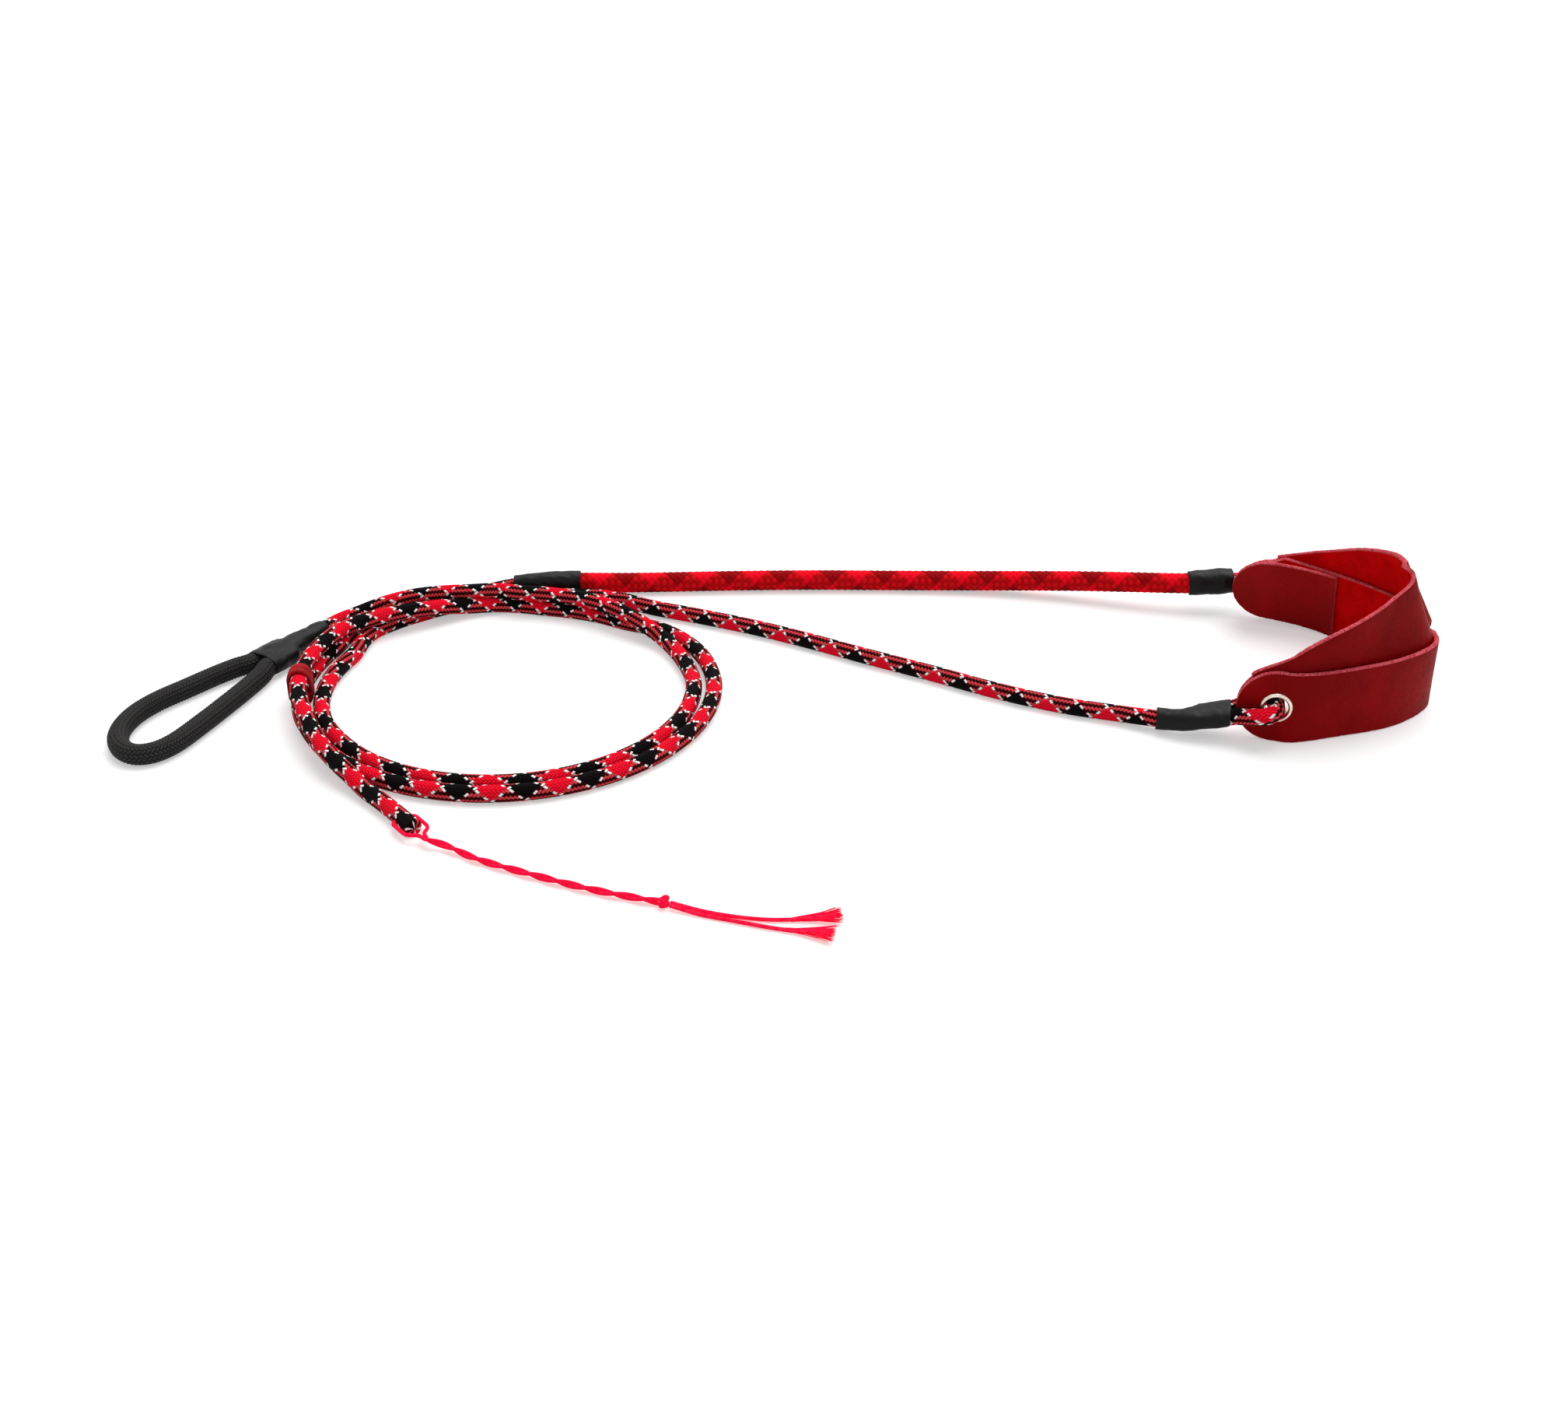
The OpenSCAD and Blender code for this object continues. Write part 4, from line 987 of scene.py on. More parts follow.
def middle_out(upper, u):
    """How far outside the plan the strap's middle line runs. The upper strap stays clear
    of the lower one at the lowest or highest level that both reach."""
    u = held(u)
    lower = (LEATHER_T + STRAP_GAP) / 2 * swap(u)
    if not upper:
        return lower
    a, b, z = -lean(False, u), lean(True, u), middle_z(True, u)
    apart = LEATHER_T / 2 * (1 / np.cos(a) + 1 / np.cos(b)) + STRAP_GAP
    low = np.minimum(z - HALF * np.cos(b), 2 * HALF * np.cos(a))
    high = np.minimum(z + HALF * np.cos(b), 2 * HALF * np.cos(a))
    inside = (low - HALF * np.cos(a)) * np.tan(a) - (z - low) * np.tan(b) - apart
    outside = (high - HALF * np.cos(a)) * np.tan(a) + (high - z) * np.tan(b) + apart
    return lower + inside + (outside - inside) * (1 - swap(u)) / 2


def strap_points(upper, u, s, w, off):
    """Points s past the stations u, w across and off outwards from the strap's middle.
    v = u + (s cos b - w sin b) / speed, z = z(u) + (s sin b + w cos b) cos lean, and
    p = plan(v) + (out(v) - (z - z(v)) tan lean(v)) outward(v) + z up + off normal(v)."""
    b = np.arctan2(slope_of(lambda t: middle_z(upper, t), held(u)), plan_speed(u))
    v = u + (s * np.cos(b) - w * np.sin(b)) / plan_speed(u)
    z = middle_z(upper, u) + (s * np.sin(b) + w * np.cos(b)) * np.cos(lean(upper, u))
    t = lean(upper, v)
    out = middle_out(upper, v) - (z - middle_z(upper, v)) * np.tan(t)
    normal = outward(v) * np.cos(t)[:, None] + UP * np.sin(t)[:, None]
    return plan_at(v) + out[:, None] * outward(v) + z[:, None] * UP + off[:, None] * normal


stations = np.linspace(0, LAST, 9)
print("upper strap is outside the plan by (mm):", np.round(middle_out(True, stations), 1))

# %% [markdown]
# ## Leather
# The straps are dyed leather, red all through: a smooth grain side, a matt suede side and
# a cut edge where loose fibres catch the light, so it looks pink. Grain is small cells with
# soft borders over a slow change of tone; suede is a fine nap that lies in patches; the cut
# edge is fibre ends. Grain is shared with the lace of the keeper ring as a shader group.

# %% Leather finishes
def make_grain_group():
    """Height of the leather's grain, and a slow change of tone, both 0 to 1."""
    tree, w, given, out = group_tree("leather_grain", [("Place", VECTOR, None)],
                                     ["Height", "Tone"])
    wrinkles = w.noise(given["Place"], 700.0, 4.0, 0.6)
    w.put(out["Height"], w.cells(given["Place"], 1500.0) * 0.5 + wrinkles)
    w.put(out["Tone"], w.noise(given["Place"], 85.0, 3.0, 0.5))
    return tree


grain = make_grain_group()


def wire_grain(w, dark, light):
    g = w.outputs(w.node("Group", {"Place": w.place()}, node_tree=grain))
    fine = w.noise(w.place(), 3200.0, 2.0)
    tone = w.range(g["Tone"], 0.3, 0.7)
    colour = w.shade(w.mix(tone, dark, light), w.range(fine, 0.25, 0.75, 0.86, 1.1))
    return {"Base Color": colour, "Roughness": w.range(g["Height"], 0.3, 1.0, 0.62, 0.48),
            "Normal": w.bump(g["Height"], 0.00009)}


def wire_suede(w):
    place = w.place()
    nap = w.noise(w.stretch(place, (1, 1, 2.2)), 1900.0, 4.0, 0.7)
    patch = w.noise(place, 120.0, 3.0, 0.6, 0.6)
    colour = w.mix(w.range(patch, 0.3, 0.7), linear(196, 3, 6), linear(226, 7, 9))
    return {"Base Color": w.shade(colour, w.range(nap, 0.25, 0.75, 0.8, 1.16)),
            "Roughness": w.range(nap, 0.2, 0.8, 0.82, 0.95),
            "Normal": w.bump(nap, 0.00012)}


def wire_edge(w):
    uv = w.place("UV")
    ends = w.noise(w.stretch(uv, (2.6, 0.9, 1)), 1.6, 4.0, 0.7)
    patch = w.noise(uv, 0.22, 3.0, 0.6)
    pale = w.range(ends, 0.34, 0.62) * w.range(patch, 0.25, 0.6, 0.55, 1.0)
    return {"Base Color": w.mix(pale, linear(168, 18, 30), linear(240, 112, 124)),
            "Roughness": w.range(ends, 0.2, 0.8, 0.75, 0.92),
            "Normal": w.bump(ends, 0.00016)}


def grain_leather(name, dark, light, gloss=0.05):
    """Dyed leather between two screen colours."""
    return material(name, lambda w: wire_grain(w, linear(*dark), linear(*light)),
                    Specular_IOR_Level=gloss)


# One leather in three copies: the upper strap's colours are painted darker as painted
# shade, and the tab's lighter as painted light.
lower_grain = grain_leather("leather_lower", (134, 2, 6), (156, 6, 11))
upper_grain_painted_shade = grain_leather("leather_upper_painted_shade", (126, 2, 5), (148, 5, 8))
tab_grain_painted_light = grain_leather("leather_tab_painted_light", (140, 3, 7), (164, 8, 11), 0.08)
lace_leather = grain_leather("lace_leather", (112, 8, 14), (182, 30, 36))
suede = material("suede_inside", wire_suede, Specular_IOR_Level=0.02)
cut_edge = material("leather_edge", wire_edge, Specular_IOR_Level=0.03)
print("leather finishes ready")

# %% [markdown]
# ## Straps
# A strap's cross section is a flat ring: grain side, rounded edge, suede side, rounded
# edge. It runs along the pouch in small steps, and its round ends are the same sections
# with w shrunk to r sin a at s = r cos a. The columns of the ring choose the finish.

# %% Strap pieces
EDGE = 0.35
FACE_COLUMNS, EDGE_COLUMNS = 16, 5
END_ANGLES = np.radians(np.linspace(2, 88, 22))
WAVE_SIZE, FRAY_SIZE, FRAY_WAVES = 16, 0.9, 12
WAVE_H, FACE_H, FRAY_H = 0.05, 0.01, 0.07


def section_ring(half):
    """(w, off) of a strap's section: faces at off = +-t/2, edges rounded."""
    r = np.minimum(EDGE, half * 0.6)[:, None]
    x = np.linspace(-1, 1, FACE_COLUMNS)
    a = np.radians(np.linspace(75, -75, EDGE_COLUMNS))
    flat = (half[:, None] - r) * x
    bulge = half[:, None] - r + r * np.cos(a)
    t = LEATHER_T / 2
    w = np.concatenate([flat, bulge, -flat, -bulge], 1)
    off = np.concatenate([0 * flat + t, 0 * bulge + t * np.sin(a),
                          0 * flat - t, 0 * bulge - t * np.sin(a)], 1)
    return w, off


COLUMN_SLOTS = [0] * (FACE_COLUMNS - 1) + [2] * (EDGE_COLUMNS + 1) + [1] * (
    FACE_COLUMNS - 1) + [2] * (EDGE_COLUMNS + 1)


def sheet_texture(s, w, off):
    """Millimetres along the strap and round its section."""
    steps = np.hypot(np.diff(w, axis=1), np.diff(off, axis=1))
    close = np.hypot(w[:, :1] - w[:, -1:], off[:, :1] - off[:, -1:])
    girth = np.cumsum(np.concatenate([0 * close, steps, close], 1), 1)
    return np.stack([np.broadcast_to(s[:, None], girth.shape), girth], -1)


def sheet(grid, line, w, off, seed):
    """The finished sheet, with its texture measured along the line."""
    return Shell().add(roughen(grid, off, seed), sheet_texture(length_along(line), w, off),
                       column_slots=COLUMN_SLOTS)


def roughen(grid, off, seed):
    """Soft waves over the leather, and small ones on its cut edges."""
    wave = lumps(grid, WAVE_SIZE, seed)[..., None]
    fray = lumps(grid, FRAY_SIZE, seed + 1, FRAY_WAVES)[..., None]
    face = np.gradient(grid, axis=0)
    side = np.roll(grid, -1, 1) - np.roll(grid, 1, 1)
    normal = unit(np.cross(face, side) + 1e-9)
    on_edge = (np.abs(off) < LEATHER_T / 2 - 1e-6)[..., None]
    return grid + WAVE_H * wave + normal * fray * (FACE_H + FRAY_H * on_edge)


def strap_shell(upper, seed, steps=300):
    half_far, a = HALF - FAR_TRIM, END_ANGLES
    run = np.linspace(0, LAST, steps + 1)
    u = np.concatenate([0 * a, run, 0 * a + LAST])
    half = np.concatenate([HALF * np.sin(a), HALF - FAR_TRIM * ease(run - LAST + 1),
                           half_far * np.sin(a[::-1])])
    s = np.concatenate([-HALF * np.cos(a), 0 * run, half_far * np.cos(a[::-1])])
    w, off = section_ring(half)
    m = w.shape[1]
    grid = strap_points(upper, np.repeat(u, m), np.repeat(s, m), w.ravel(),
                        off.ravel()).reshape(len(u), m, 3)
    return sheet(grid, grid[:, 0], w, off, seed)


HOLE_R, TOOL_L, TOOL_SIDES = 3.05, 14, 48


def cut_hole(piece, middle):
    """Boolean difference with a cylinder along the eyelet's axis, then applied."""
    line = middle + np.linspace(-0.5, 0.5, 3)[:, None] * TOOL_L * ACROSS
    tool = Shell().add(rings(line, HOLE_R, TOOL_SIDES)).mesh("hole_tool")
    cutter = bpy.data.objects.new("hole_tool", tool)
    scene.collection.objects.link(cutter)
    cut = piece.modifiers.new("hole", "BOOLEAN")
    cut.operation, cut.solver, cut.object = "DIFFERENCE", "EXACT", cutter
    bpy.context.view_layer.objects.active = piece
    bpy.ops.object.modifier_apply(modifier=cut.name)
    bpy.data.objects.remove(cutter)


for place_name, face, seed in (("lower", lower_grain, 51), ("upper", upper_grain_painted_shade, 61)):
    strap = strap_shell(place_name == "upper", seed).build(
        place_name + "_leather_strap", [face, suede, cut_edge], "pouch", "leather",
        [place_name + "_strap"])
    for eye in (NEAR_EYE, FAR_EYE):
        cut_hole(strap, eye)
    print(strap.name, "has", len(strap.data.vertices), "points after its holes")

# %% [markdown]
# ## Cover tab
# A flap of the same leather hides the far eyelet on the inside of the pouch. It leaves the
# eyelet's end along the pouch and lands flat on the lower strap, so its middle line is a
# cubic between the two, p = s^3 p0 + 3 s^2 t p1 + 3 s t^2 p2 + t^3 p3 with s = 1 - t.

# %% Tab piece
STOPPER_D, STOPPER_T = 7.2, 1.0
TAB_LEAN, TAB_LIFT, TAB_SEAT = math.radians(12), 1.7, 7.74
TAB_HALF, TAB_GAP = 17.4 / 2, 0.35


def tab_seat(u):
    """Where the tab's middle lies on the lower strap's inner side."""
    u = np.array([float(u)])
    none = np.zeros(1)
    lie = strap_points(False, u, none, none, none)
    return (lie - outward(u) * (LEATHER_T + 0.1) / np.cos(lean(False, u))[:, None])[0]


tab_off = (FAR_PIN + STOPPER_T + TAB_GAP + LEATHER_T / 2 / math.cos(TAB_LEAN)
           + (STOPPER_D / 2 + TAB_LIFT) * math.tan(TAB_LEAN))
tab_start = FAR_EYE - 0.2 * ALONG - tab_off * ACROSS + TAB_LIFT * UP
tab_end = tab_seat(TAB_SEAT)
tab_length = np.linalg.norm(tab_end - tab_start)
tab_poles = [tab_start,
             tab_start + tab_length / 3 * unit((tab_end - tab_start) * FLAT + 3 * ALONG),
             tab_end - tab_length / 3 * unit((tab_seat(TAB_SEAT - 0.1) - tab_end) * FLAT),
             tab_end]


def tab_middle(t):
    t = np.asarray(t, float)[:, None]
    p, s = tab_poles, 1 - t
    return s**3 * p[0] + 3 * s**2 * t * p[1] + 3 * s * t**2 * p[2] + t**3 * p[3]


def tab_shell(seed=71, steps=60):
    run, a = np.linspace(0, 1, steps + 1), END_ANGLES
    t = np.concatenate([0 * a, run])
    half = TAB_HALF * np.concatenate([np.sin(a), 1 + 0 * run])
    back = TAB_HALF * np.concatenate([np.cos(a), 0 * run])
    d = unit((tab_middle(np.minimum(1, t + 0.02)) - tab_middle(np.maximum(0, t - 0.02)))
             * FLAT)
    out = np.cross(d, UP)
    tilt = (-TAB_LEAN * (1 - t) - lean(False, np.array([TAB_SEAT]))[0] * t)[:, None]
    high = UP * np.cos(tilt) - out * np.sin(tilt)
    normal = np.cross(d, high)
    w, off = section_ring(half)
    middle = tab_middle(t) - back[:, None] * d
    grid = (middle[:, None] + w[..., None] * high[:, None] + off[..., None]
            * normal[:, None])
    return sheet(grid, middle, w, off, seed)


tab_shell().build("leather_cover_tab", [tab_grain_painted_light, suede, cut_edge], "pouch", "leather",
                  ["cover_tab"])

# %% [markdown]
# ## Eyelets
# An eyelet is a barrel with a domed flange, pushed through both straps and rolled over a
# washer behind. Both are turned shapes: a closed profile of radius and height carried
# round the axis, p = middle + r (cos a e1 + sin a e2) + h axis.

# %% Turned pieces
def turned(profile, middle, axis, sides=96, smooth_steps=4):
    """Grid of a closed profile (r, h) carried round the axis."""
    loop = np.array([*profile, profile[0]], float)
    line = curve(np.concatenate([loop[-2:-1], loop, loop[1:2]]), smooth_steps)
    line = line[smooth_steps:-smooth_steps - 1]
    e1 = unit(np.cross(UP, axis))
    e2 = np.cross(axis, e1)
    ray = around(ring_angles(sides)[:, None], e1, e2)
    return middle + line[:, None, :1] * ray + line[:, None, 1:] * axis


def wire_eyelet(w):
    place = w.place()
    scratch = w.noise(w.stretch(place, (1, 1, 5)), 2200.0, 3.0, 0.6)
    film = w.noise(place, 420.0, 3.0)
    return {"Base Color": w.mix(w.range(film, 0.3, 0.75), linear(214, 200, 180),
                                linear(238, 230, 218)),
            "Roughness": w.range(scratch, 0.3, 0.7, 0.16, 0.3),
            "Normal": w.bump(scratch, 0.00001)}


nickel = material("warm_nickel", wire_eyelet, Metallic=1.0)
EYELET_PROFILE = [
    (2.66, 0.8), (2.7, 1.35), (2.84, 1.78), (3.08, 2.0), (3.36, 1.96), (3.62, 1.72),
    (3.8, 1.4), (3.75, 1.27), (3.5, 1.3), (3.2, 1.29), (3.0, 1.1), (3.0, 0), (3.0, -1.5),
    (3.06, -1.75), (3.3, -1.86), (3.42, -2.02), (3.3, -2.22), (3.0, -2.28),
    (2.76, -2.1), (2.68, -1.7), (2.66, -0.5)]
WASHER_PROFILE = [
    (3.05, -1.3), (3.4, -1.28), (3.9, -1.28), (4.05, -1.36), (4.02, -1.5),
    (3.8, -1.62), (3.4, -1.72), (3.08, -1.74), (3.04, -1.5)]
for label, eye, front in (("near", NEAR_EYE, -ACROSS), ("far", FAR_EYE, ACROSS)):
    for part, profile, smooth_steps, replaced in (
            ("ring", EYELET_PROFILE, 4, "_eyelet"),
            ("washer", WASHER_PROFILE, 3, "_washer")):
        grid = turned(profile, eye, front, smooth_steps=smooth_steps)
        Shell().add(grid, row_ring=True).build(f"{label}_eyelet_{part}", [nickel],
                                               "pouch", "eyelet", [label + replaced])

# %% [markdown]
# ## Far stopper
# Behind the tab the covered cord ends in a flat melted head that can't pull back through
# the eyelet. Melted braid is dark, glossy and a little lumpy.

# %% Melted head
def wire_melt(w):
    place = w.place()
    flow = w.noise(place, 700.0, 3.0, 0.6, 0.8)
    return {"Base Color": w.mix(w.range(flow, 0.3, 0.7), linear(92, 8, 14),
                                linear(168, 22, 34)),
            "Roughness": w.range(flow, 0.3, 0.7, 0.25, 0.42),
            "Normal": w.bump(flow, 0.0002)}


melted = material("melted_braid", wire_melt)
far_axis = heading(ARM_AZ + math.pi / 2)
head_r = STOPPER_D / 2
HEAD_PROFILE = [(0.02, 0.0), (head_r - 0.6, 0.0), (head_r - 0.1, 0.18), (head_r, 0.5),
                (head_r - 0.15, 0.85), (head_r - 0.8, 1.0), (0.02, 1.0)]
head = turned(HEAD_PROFILE, far_point([[0, FAR_PIN, 0]])[0], far_axis, 64, 4)
head_waves = 0.08 * lumps(head, 2.4, 81)[..., None]
stopper_head = Shell().add(head + head_waves, row_ring=True).build(
    "far_stopper_head", [melted], "arms", "cord", ["far_stopper"])

# %% [markdown]
# ## Keeper ring
# A dark red lace is wound twice round two turns of the covered cord, one on the other.
# Each turn of the lace is a rounded strip that follows a stadium, two half circles joined
# by straights, so it is a closed tube: a stadium path with a flat superellipse as its
# section.

# %% Lace turns
LACE_AT, LACE_W, LACE_APART = math.radians(185), 2.1, 0.51
LACE_SIDES, LACE_POWER = 20, 0.6
LACE_RING_R = COIL_R + LACE_LANE


def stadium(radius, steps=28):
    """Closed line round both cords, (out, height) from the lane's middle."""
    a = np.linspace(0, math.pi, steps)
    top = np.stack([radius * np.cos(a), STACK_Z + radius * np.sin(a)], 1)
    bottom = np.stack([-radius * np.cos(a), LIFT_Z - radius * np.sin(a)], 1)
    return np.concatenate([top, bottom])


def lace_turn(angle, seed):
    """A flat superellipse carried round the stadium at that angle of the coil."""
    line = stadium(CORD_R + LACE_GAP + LACE_T / 2)
    d = unit(np.roll(line, -1, 0) - np.roll(line, 1, 0))
    normal = np.stack([d[:, 1], -d[:, 0]], 1)
    across, deep = squircle(LACE_SIDES, LACE_POWER)
    out, z = (line + np.multiply.outer(deep * LACE_T / 2, normal)).transpose(2, 1, 0)
    out = LACE_RING_R + out
    turn = angle + LACE_W / 2 * across / LACE_RING_R + 0 * z
    grid = COIL_MIDDLE + np.stack([out * np.cos(turn), out * np.sin(turn), z], -1)
    return grid + 0.07 * lumps(grid, 3.0, seed)[..., None]


keeper = Shell()
for number, side in enumerate((-1, 1)):
    keeper.add(lace_turn(LACE_AT + side * LACE_APART * LACE_W / LACE_RING_R, 91 + number),
               row_ring=True)
keeper.build("keeper_lace", [lace_leather], "keeper", "lace", ["keeper_ring"])

# %% [markdown]
# ## Cracker
# The cracker is soft bright thread. It is looped through the melted tip of the covered
# cord, twisted into two plies, knotted, and frayed into two tufts. A ply is a helix round
# the middle line, and its own fine twist is in its material.

# %% Thread finish
def wire_thread(w):
    u, v, _ = w.outputs(w.node("SeparateXYZ", {0: w.place("UV")})).values()
    wave = w.calc("SINE", (u + v) * (4 * math.pi)) * 0.5 + 0.5
    fuzz = w.noise(w.place(), 2600.0, 3.0, 0.7)
    # painted shade: darker stripes in the grooves of the ply's fine twist
    light = w.range(wave, 0.0, 1.0, 0.82, 1.0) * w.range(fuzz, 0.25, 0.75, 0.88, 1.12)
    return {"Base Color": w.shade(linear(253, 22, 66), light),
            "Roughness": w.range(fuzz, 0.2, 0.8, 0.7, 0.9),
            "Normal": w.bump(fuzz * 0.5 + wave, 0.00012)}


def wire_fibre(w):
    fuzz = w.noise(w.place(), 900.0, 2.0, 0.6)
    return {"Base Color": w.mix(w.range(fuzz, 0.3, 0.7), linear(232, 10, 50),
                                linear(255, 44, 86))}


# painted glow: the thread and its loose fibres give off a faint red light of their own,
# though they are no lamp
GLOSS_AND_PAINTED_GLOW = {"Specular_IOR_Level": 0.05, "Emission_Color": (1.0, 0.004, 0.05, 1.0),
        "Emission_Strength": 0.3}
thread = material("cracker_thread", wire_thread, **GLOSS_AND_PAINTED_GLOW)
loose_fibre = material("loose_fibre", wire_fibre, Roughness=0.85, **GLOSS_AND_PAINTED_GLOW)
print("neon finishes:", thread.name, loose_fibre.name)

# %% Loop, twist and knot
PLY_D = 0.95
PLY_R = 0.43
PLY_OFF = 0.39
TIE_Y, TIE_BEND, TIE_X = CORD_R + 0.35 + PLY_R, 1.0, 5.1
CLOSE = math.radians(60)
CLOSE_R = (TIE_Y - PLY_OFF) / (2 * (1 - math.cos(CLOSE)))
TIE_END = TIE_X + 2 * CLOSE_R * math.sin(CLOSE)


def arc(x, y, r, start, end, steps=8):
    """Points x + r cos a, y + r sin a, with a in degrees."""
    a = np.radians(np.linspace(start, end, steps + 1))
    return np.stack([x + r * np.cos(a), y + r * np.sin(a), 0 * a], 1)


tie_side = np.concatenate([
    arc(TIE_BEND, TIE_Y - TIE_BEND, TIE_BEND, 180, 90),
    arc(TIE_X, TIE_Y - CLOSE_R, CLOSE_R, 90, 30),
    arc(TIE_END, PLY_OFF + CLOSE_R, CLOSE_R, -150, -90)])
mirror_y = np.array([1, -1, 1])
tie_line = even(placed(np.concatenate([tie_side[::-1], tie_side * mirror_y]), TIP_EYE,
                       TIP_AZ), 0.3)
THREAD_PITCH = 3.2
cord_piece("cracker_tie", tie_line, PLY_R, 16, thread, THREAD_PITCH, "cracker", "thread",
           ["cracker_loop"])

TWIST_Z = PLY_D + 0.05
TWIST_PITCH = 13.0
KNOT_D = 2.5
KNOT_AT = np.array([-24.3, -94.9, KNOT_D / 2])
twist_start = placed([[TIE_END, 0, 0]], TIP_EYE, TIP_AZ)[0]
twist_line = even(curve(np.array([
    twist_start, twist_start + TIP_DIR * 1.5, [-71.6, -74.1, 1.3], [-64.2, -78.9, TWIST_Z],
    [-53, -84.3, TWIST_Z], [-39.4, -90.1, TWIST_Z],
    KNOT_AT + np.array([-1, 0.32, 0]) * KNOT_D / 2 + [0, 0, TWIST_Z - KNOT_D / 2]])), 0.35)


def ply_line(half_turn):
    """Middle line + off (cos a side + sin a top), with a = 2 pi s / pitch."""
    _, side, top = level_frame(twist_line, first=TIP_DIR)
    a = 2 * math.pi * length_along(twist_line) / TWIST_PITCH + math.pi * half_turn
    return twist_line + PLY_OFF * around(a[:, None], side, top)


def add_ply(shell, line):
    """A ply of thread along the line."""
    path, r = round_ends(line, PLY_R, 0.3)
    shell.add(rings(path, r, 16), cord_texture(path, 16, THREAD_PITCH, NO_TWIST))


twist = Shell()
for half_turn in (0, 1):
    add_ply(twist, ply_line(half_turn))
cracker_twist = twist.build("cracker_twist_plies", [thread], "cracker", "thread",
                            ["cracker_twist"])
KNOT_LONG, KNOT_WIDE, KNOT_PLY_R, KNOT_STEPS = 0.62, 0.36, 0.46, 120


def knot_shell():
    """An overhand knot, pulled tight: the trefoil x = -sin 3t along the cracker,
    y = sin t + 2 sin 2t across it and z = cos t - 2 cos 2t."""
    t = ring_angles(KNOT_STEPS)
    local = np.stack([-np.sin(3 * t) * KNOT_LONG,
                      (np.sin(t) + 2 * np.sin(2 * t)) * KNOT_WIDE,
                      (np.cos(t) - 2 * np.cos(2 * t)) * KNOT_WIDE], 1)
    line = placed(local, KNOT_AT, math.radians(-15))
    d = unit(np.roll(line, -1, 0) - np.roll(line, 1, 0))
    e1 = unit(np.cross(d, line - KNOT_AT + 1e-6))
    grid = line[:, None] + KNOT_PLY_R * around(ring_angles(14)[:, None], e1[:, None],
                                               np.cross(d, e1)[:, None])
    return Shell().add(grid, ring_texture(KNOT_STEPS + 1, 14, 6.0), row_ring=True)


cracker_knot = knot_shell().build("cracker_stop_knot", [thread], "cracker", "thread",
                                  ["cracker_knot"])

# %% [markdown]
# ## Frayed ends
# Past the knot each ply runs on a little and opens into loose fibres. A fibre is a thin
# tube whose middle line starts in the ply and drifts sideways as (distance)^1.6, each one
# with its own drift, so a tuft is wide at its tip. They lie on the table.

# %% Tufts
PLY_Z = PLY_R + 0.1
END_POINTS = {
    "left": [[-22.8, -94.9, TWIST_Z], [-16.5, -97.1, PLY_Z], [-10.2, -99, PLY_Z],
             [-3.6, -100.1, PLY_Z], [3, -100.1, PLY_Z]],
    "right": [[-22.9, -96, TWIST_Z], [-17, -98.3, PLY_Z], [-10.6, -100.4, PLY_Z],
              [-4, -102.5, PLY_Z], [1.6, -104, PLY_Z]]}
TUFT_L, TUFT_W, FIBRES, FIBRE_R, ROOT_L = 8.4, 3.0, 140, 0.11, 1.6
DRIFT_POWER, FIBRE_CLEAR = 1.6, 0.12


def tuft(name, azimuth, seed):
    chance = np.random.default_rng(seed)
    line = even(curve(np.array(END_POINTS[name])), 0.4)
    shell = Shell()
    add_ply(shell, line)
    root = placed([[-ROOT_L, 0, 0]], line[-1], math.radians(azimuth))[0]
    reach = np.linspace(0, 1, 9)
    for drift, start_y, start_z, long, wave in zip(
            chance.normal(0, 0.5, FIBRES), chance.uniform(-1, 1, FIBRES),
            chance.uniform(-0.7, 0.9, FIBRES), chance.uniform(0.9, 1.04, FIBRES),
            chance.uniform(-1, 1, FIBRES)):
        x = reach * (TUFT_L + ROOT_L) * long
        y = (start_y * PLY_R * 0.7 + 0.25 * wave * np.sin(reach * 5 + wave)
             + np.clip(drift, -1, 1) * TUFT_W * 0.75 * reach**DRIFT_POWER)
        z = start_z * PLY_R * 0.7 * (1 - 0.3 * reach) + reach * (0.7 + 0.4 * start_z)
        fibre = placed(np.stack([x, y, z], 1), root, math.radians(azimuth))
        fibre[:, 2] = np.maximum(fibre[:, 2], FIBRE_CLEAR)
        shell.add(rings(fibre, FIBRE_R * (1 - 0.45 * reach), 4))
    return shell.build(f"tassel_{name}_tuft", [loose_fibre], "cracker", "thread",
                       ["tassel_" + name])


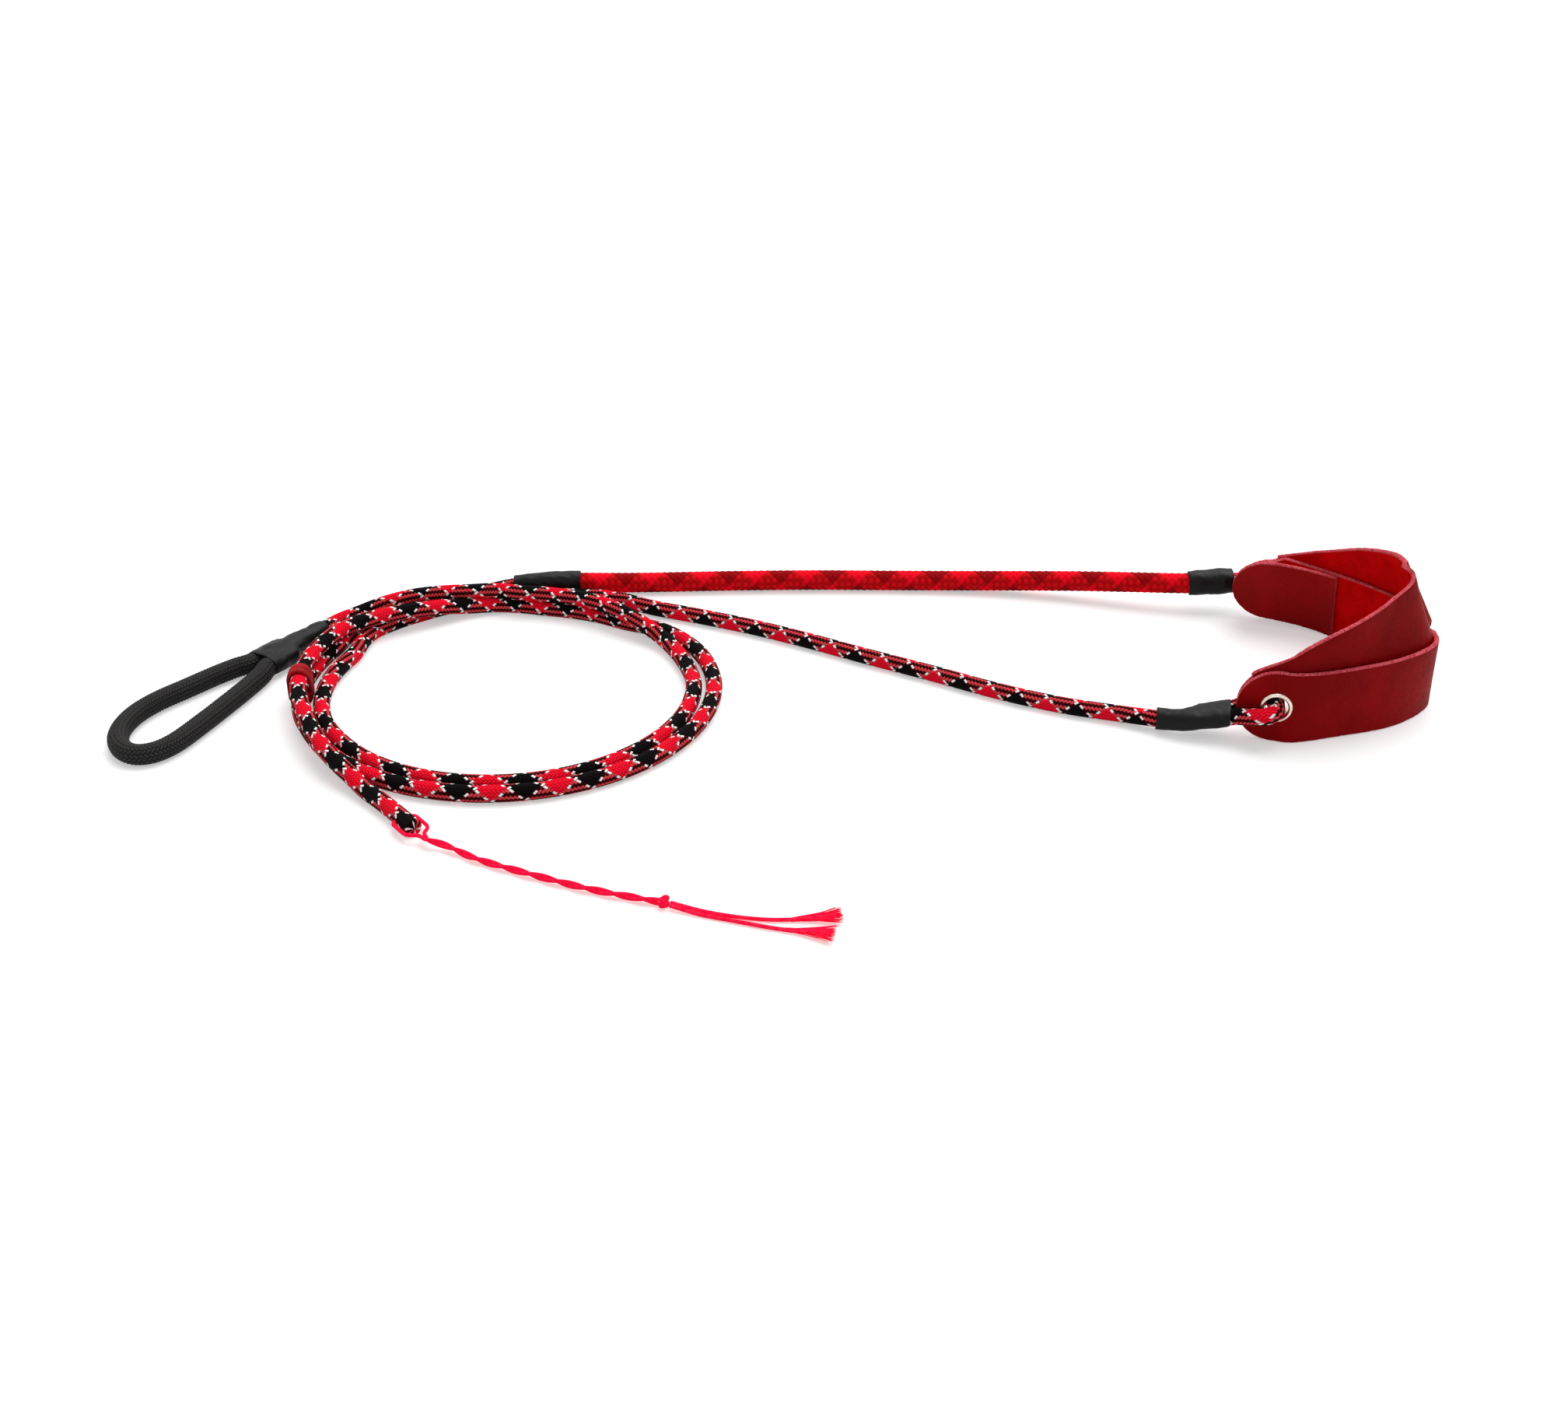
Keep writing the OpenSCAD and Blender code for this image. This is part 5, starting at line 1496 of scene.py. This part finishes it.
left_tuft = tuft("left", 6, 101)
right_tuft = tuft("right", -12, 102)

# %% [markdown]


# %% [markdown]
# ## Table and light
# The sling lies on a plain white table under one broad soft light. The white sky lights it
# with half the strength that the camera sees. The floor's own colour is a pale grey, and
# camera rays see it a little brighter, so that it reads as white but keeps the shadow.

# %% Floor
WHITE, SKY_LIGHT = (1, 1, 1, 1), 0.5


def camera_rays(w):
    """1 for rays from the camera, also by way of gloss or glass, and 0 for others."""
    ray = w.outputs(w.node("LightPath"))
    return w.calc("MAXIMUM", ray["Is Camera Ray"],
                  w.calc("MAXIMUM", ray["Is Glossy Ray"], ray["Is Transmission Ray"]))


FLOOR_HALF, FLOOR_UNDER, FLOOR_GREY, FLOOR_GLOW = 6.0, 0.00002, 0.72, 0.42
floor_mesh = bpy.data.meshes.new("table_top")
floor_mesh.from_pydata([(x * FLOOR_HALF, y * FLOOR_HALF, -FLOOR_UNDER) for x, y in (
    (-1, -1), (1, -1), (1, 1), (-1, 1))], [], [(0, 1, 2, 3)])
floor_mesh.materials.append(material(
    "white_table", lambda w: {"Emission Strength": camera_rays(w) * FLOOR_GLOW},
    Base_Color=(FLOOR_GREY,) * 3 + (1,), Roughness=0.9, Specular_IOR_Level=0.0,
    Emission_Color=WHITE))
floor = bpy.data.objects.new("table_top", floor_mesh)
scene.collection.objects.link(floor)

# %% Light and sky
sun = bpy.data.objects.new("soft_light", bpy.data.lights.new("soft_light", "SUN"))
sun.data.energy = 2.15
sun.data.angle = math.radians(55)
sun.rotation_euler = (math.radians(-24), math.radians(14), 0)
scene.collection.objects.link(sun)

world = bpy.data.worlds.new("white_room")
world.use_nodes = True
scene.world = world
sky = Wires(world.node_tree)
background = world.node_tree.nodes["Background"]
background.inputs["Color"].default_value = WHITE
sky.put(background.inputs["Strength"], camera_rays(sky) * (1 - SKY_LIGHT) + SKY_LIGHT)
scene.view_settings.view_transform = "Standard"
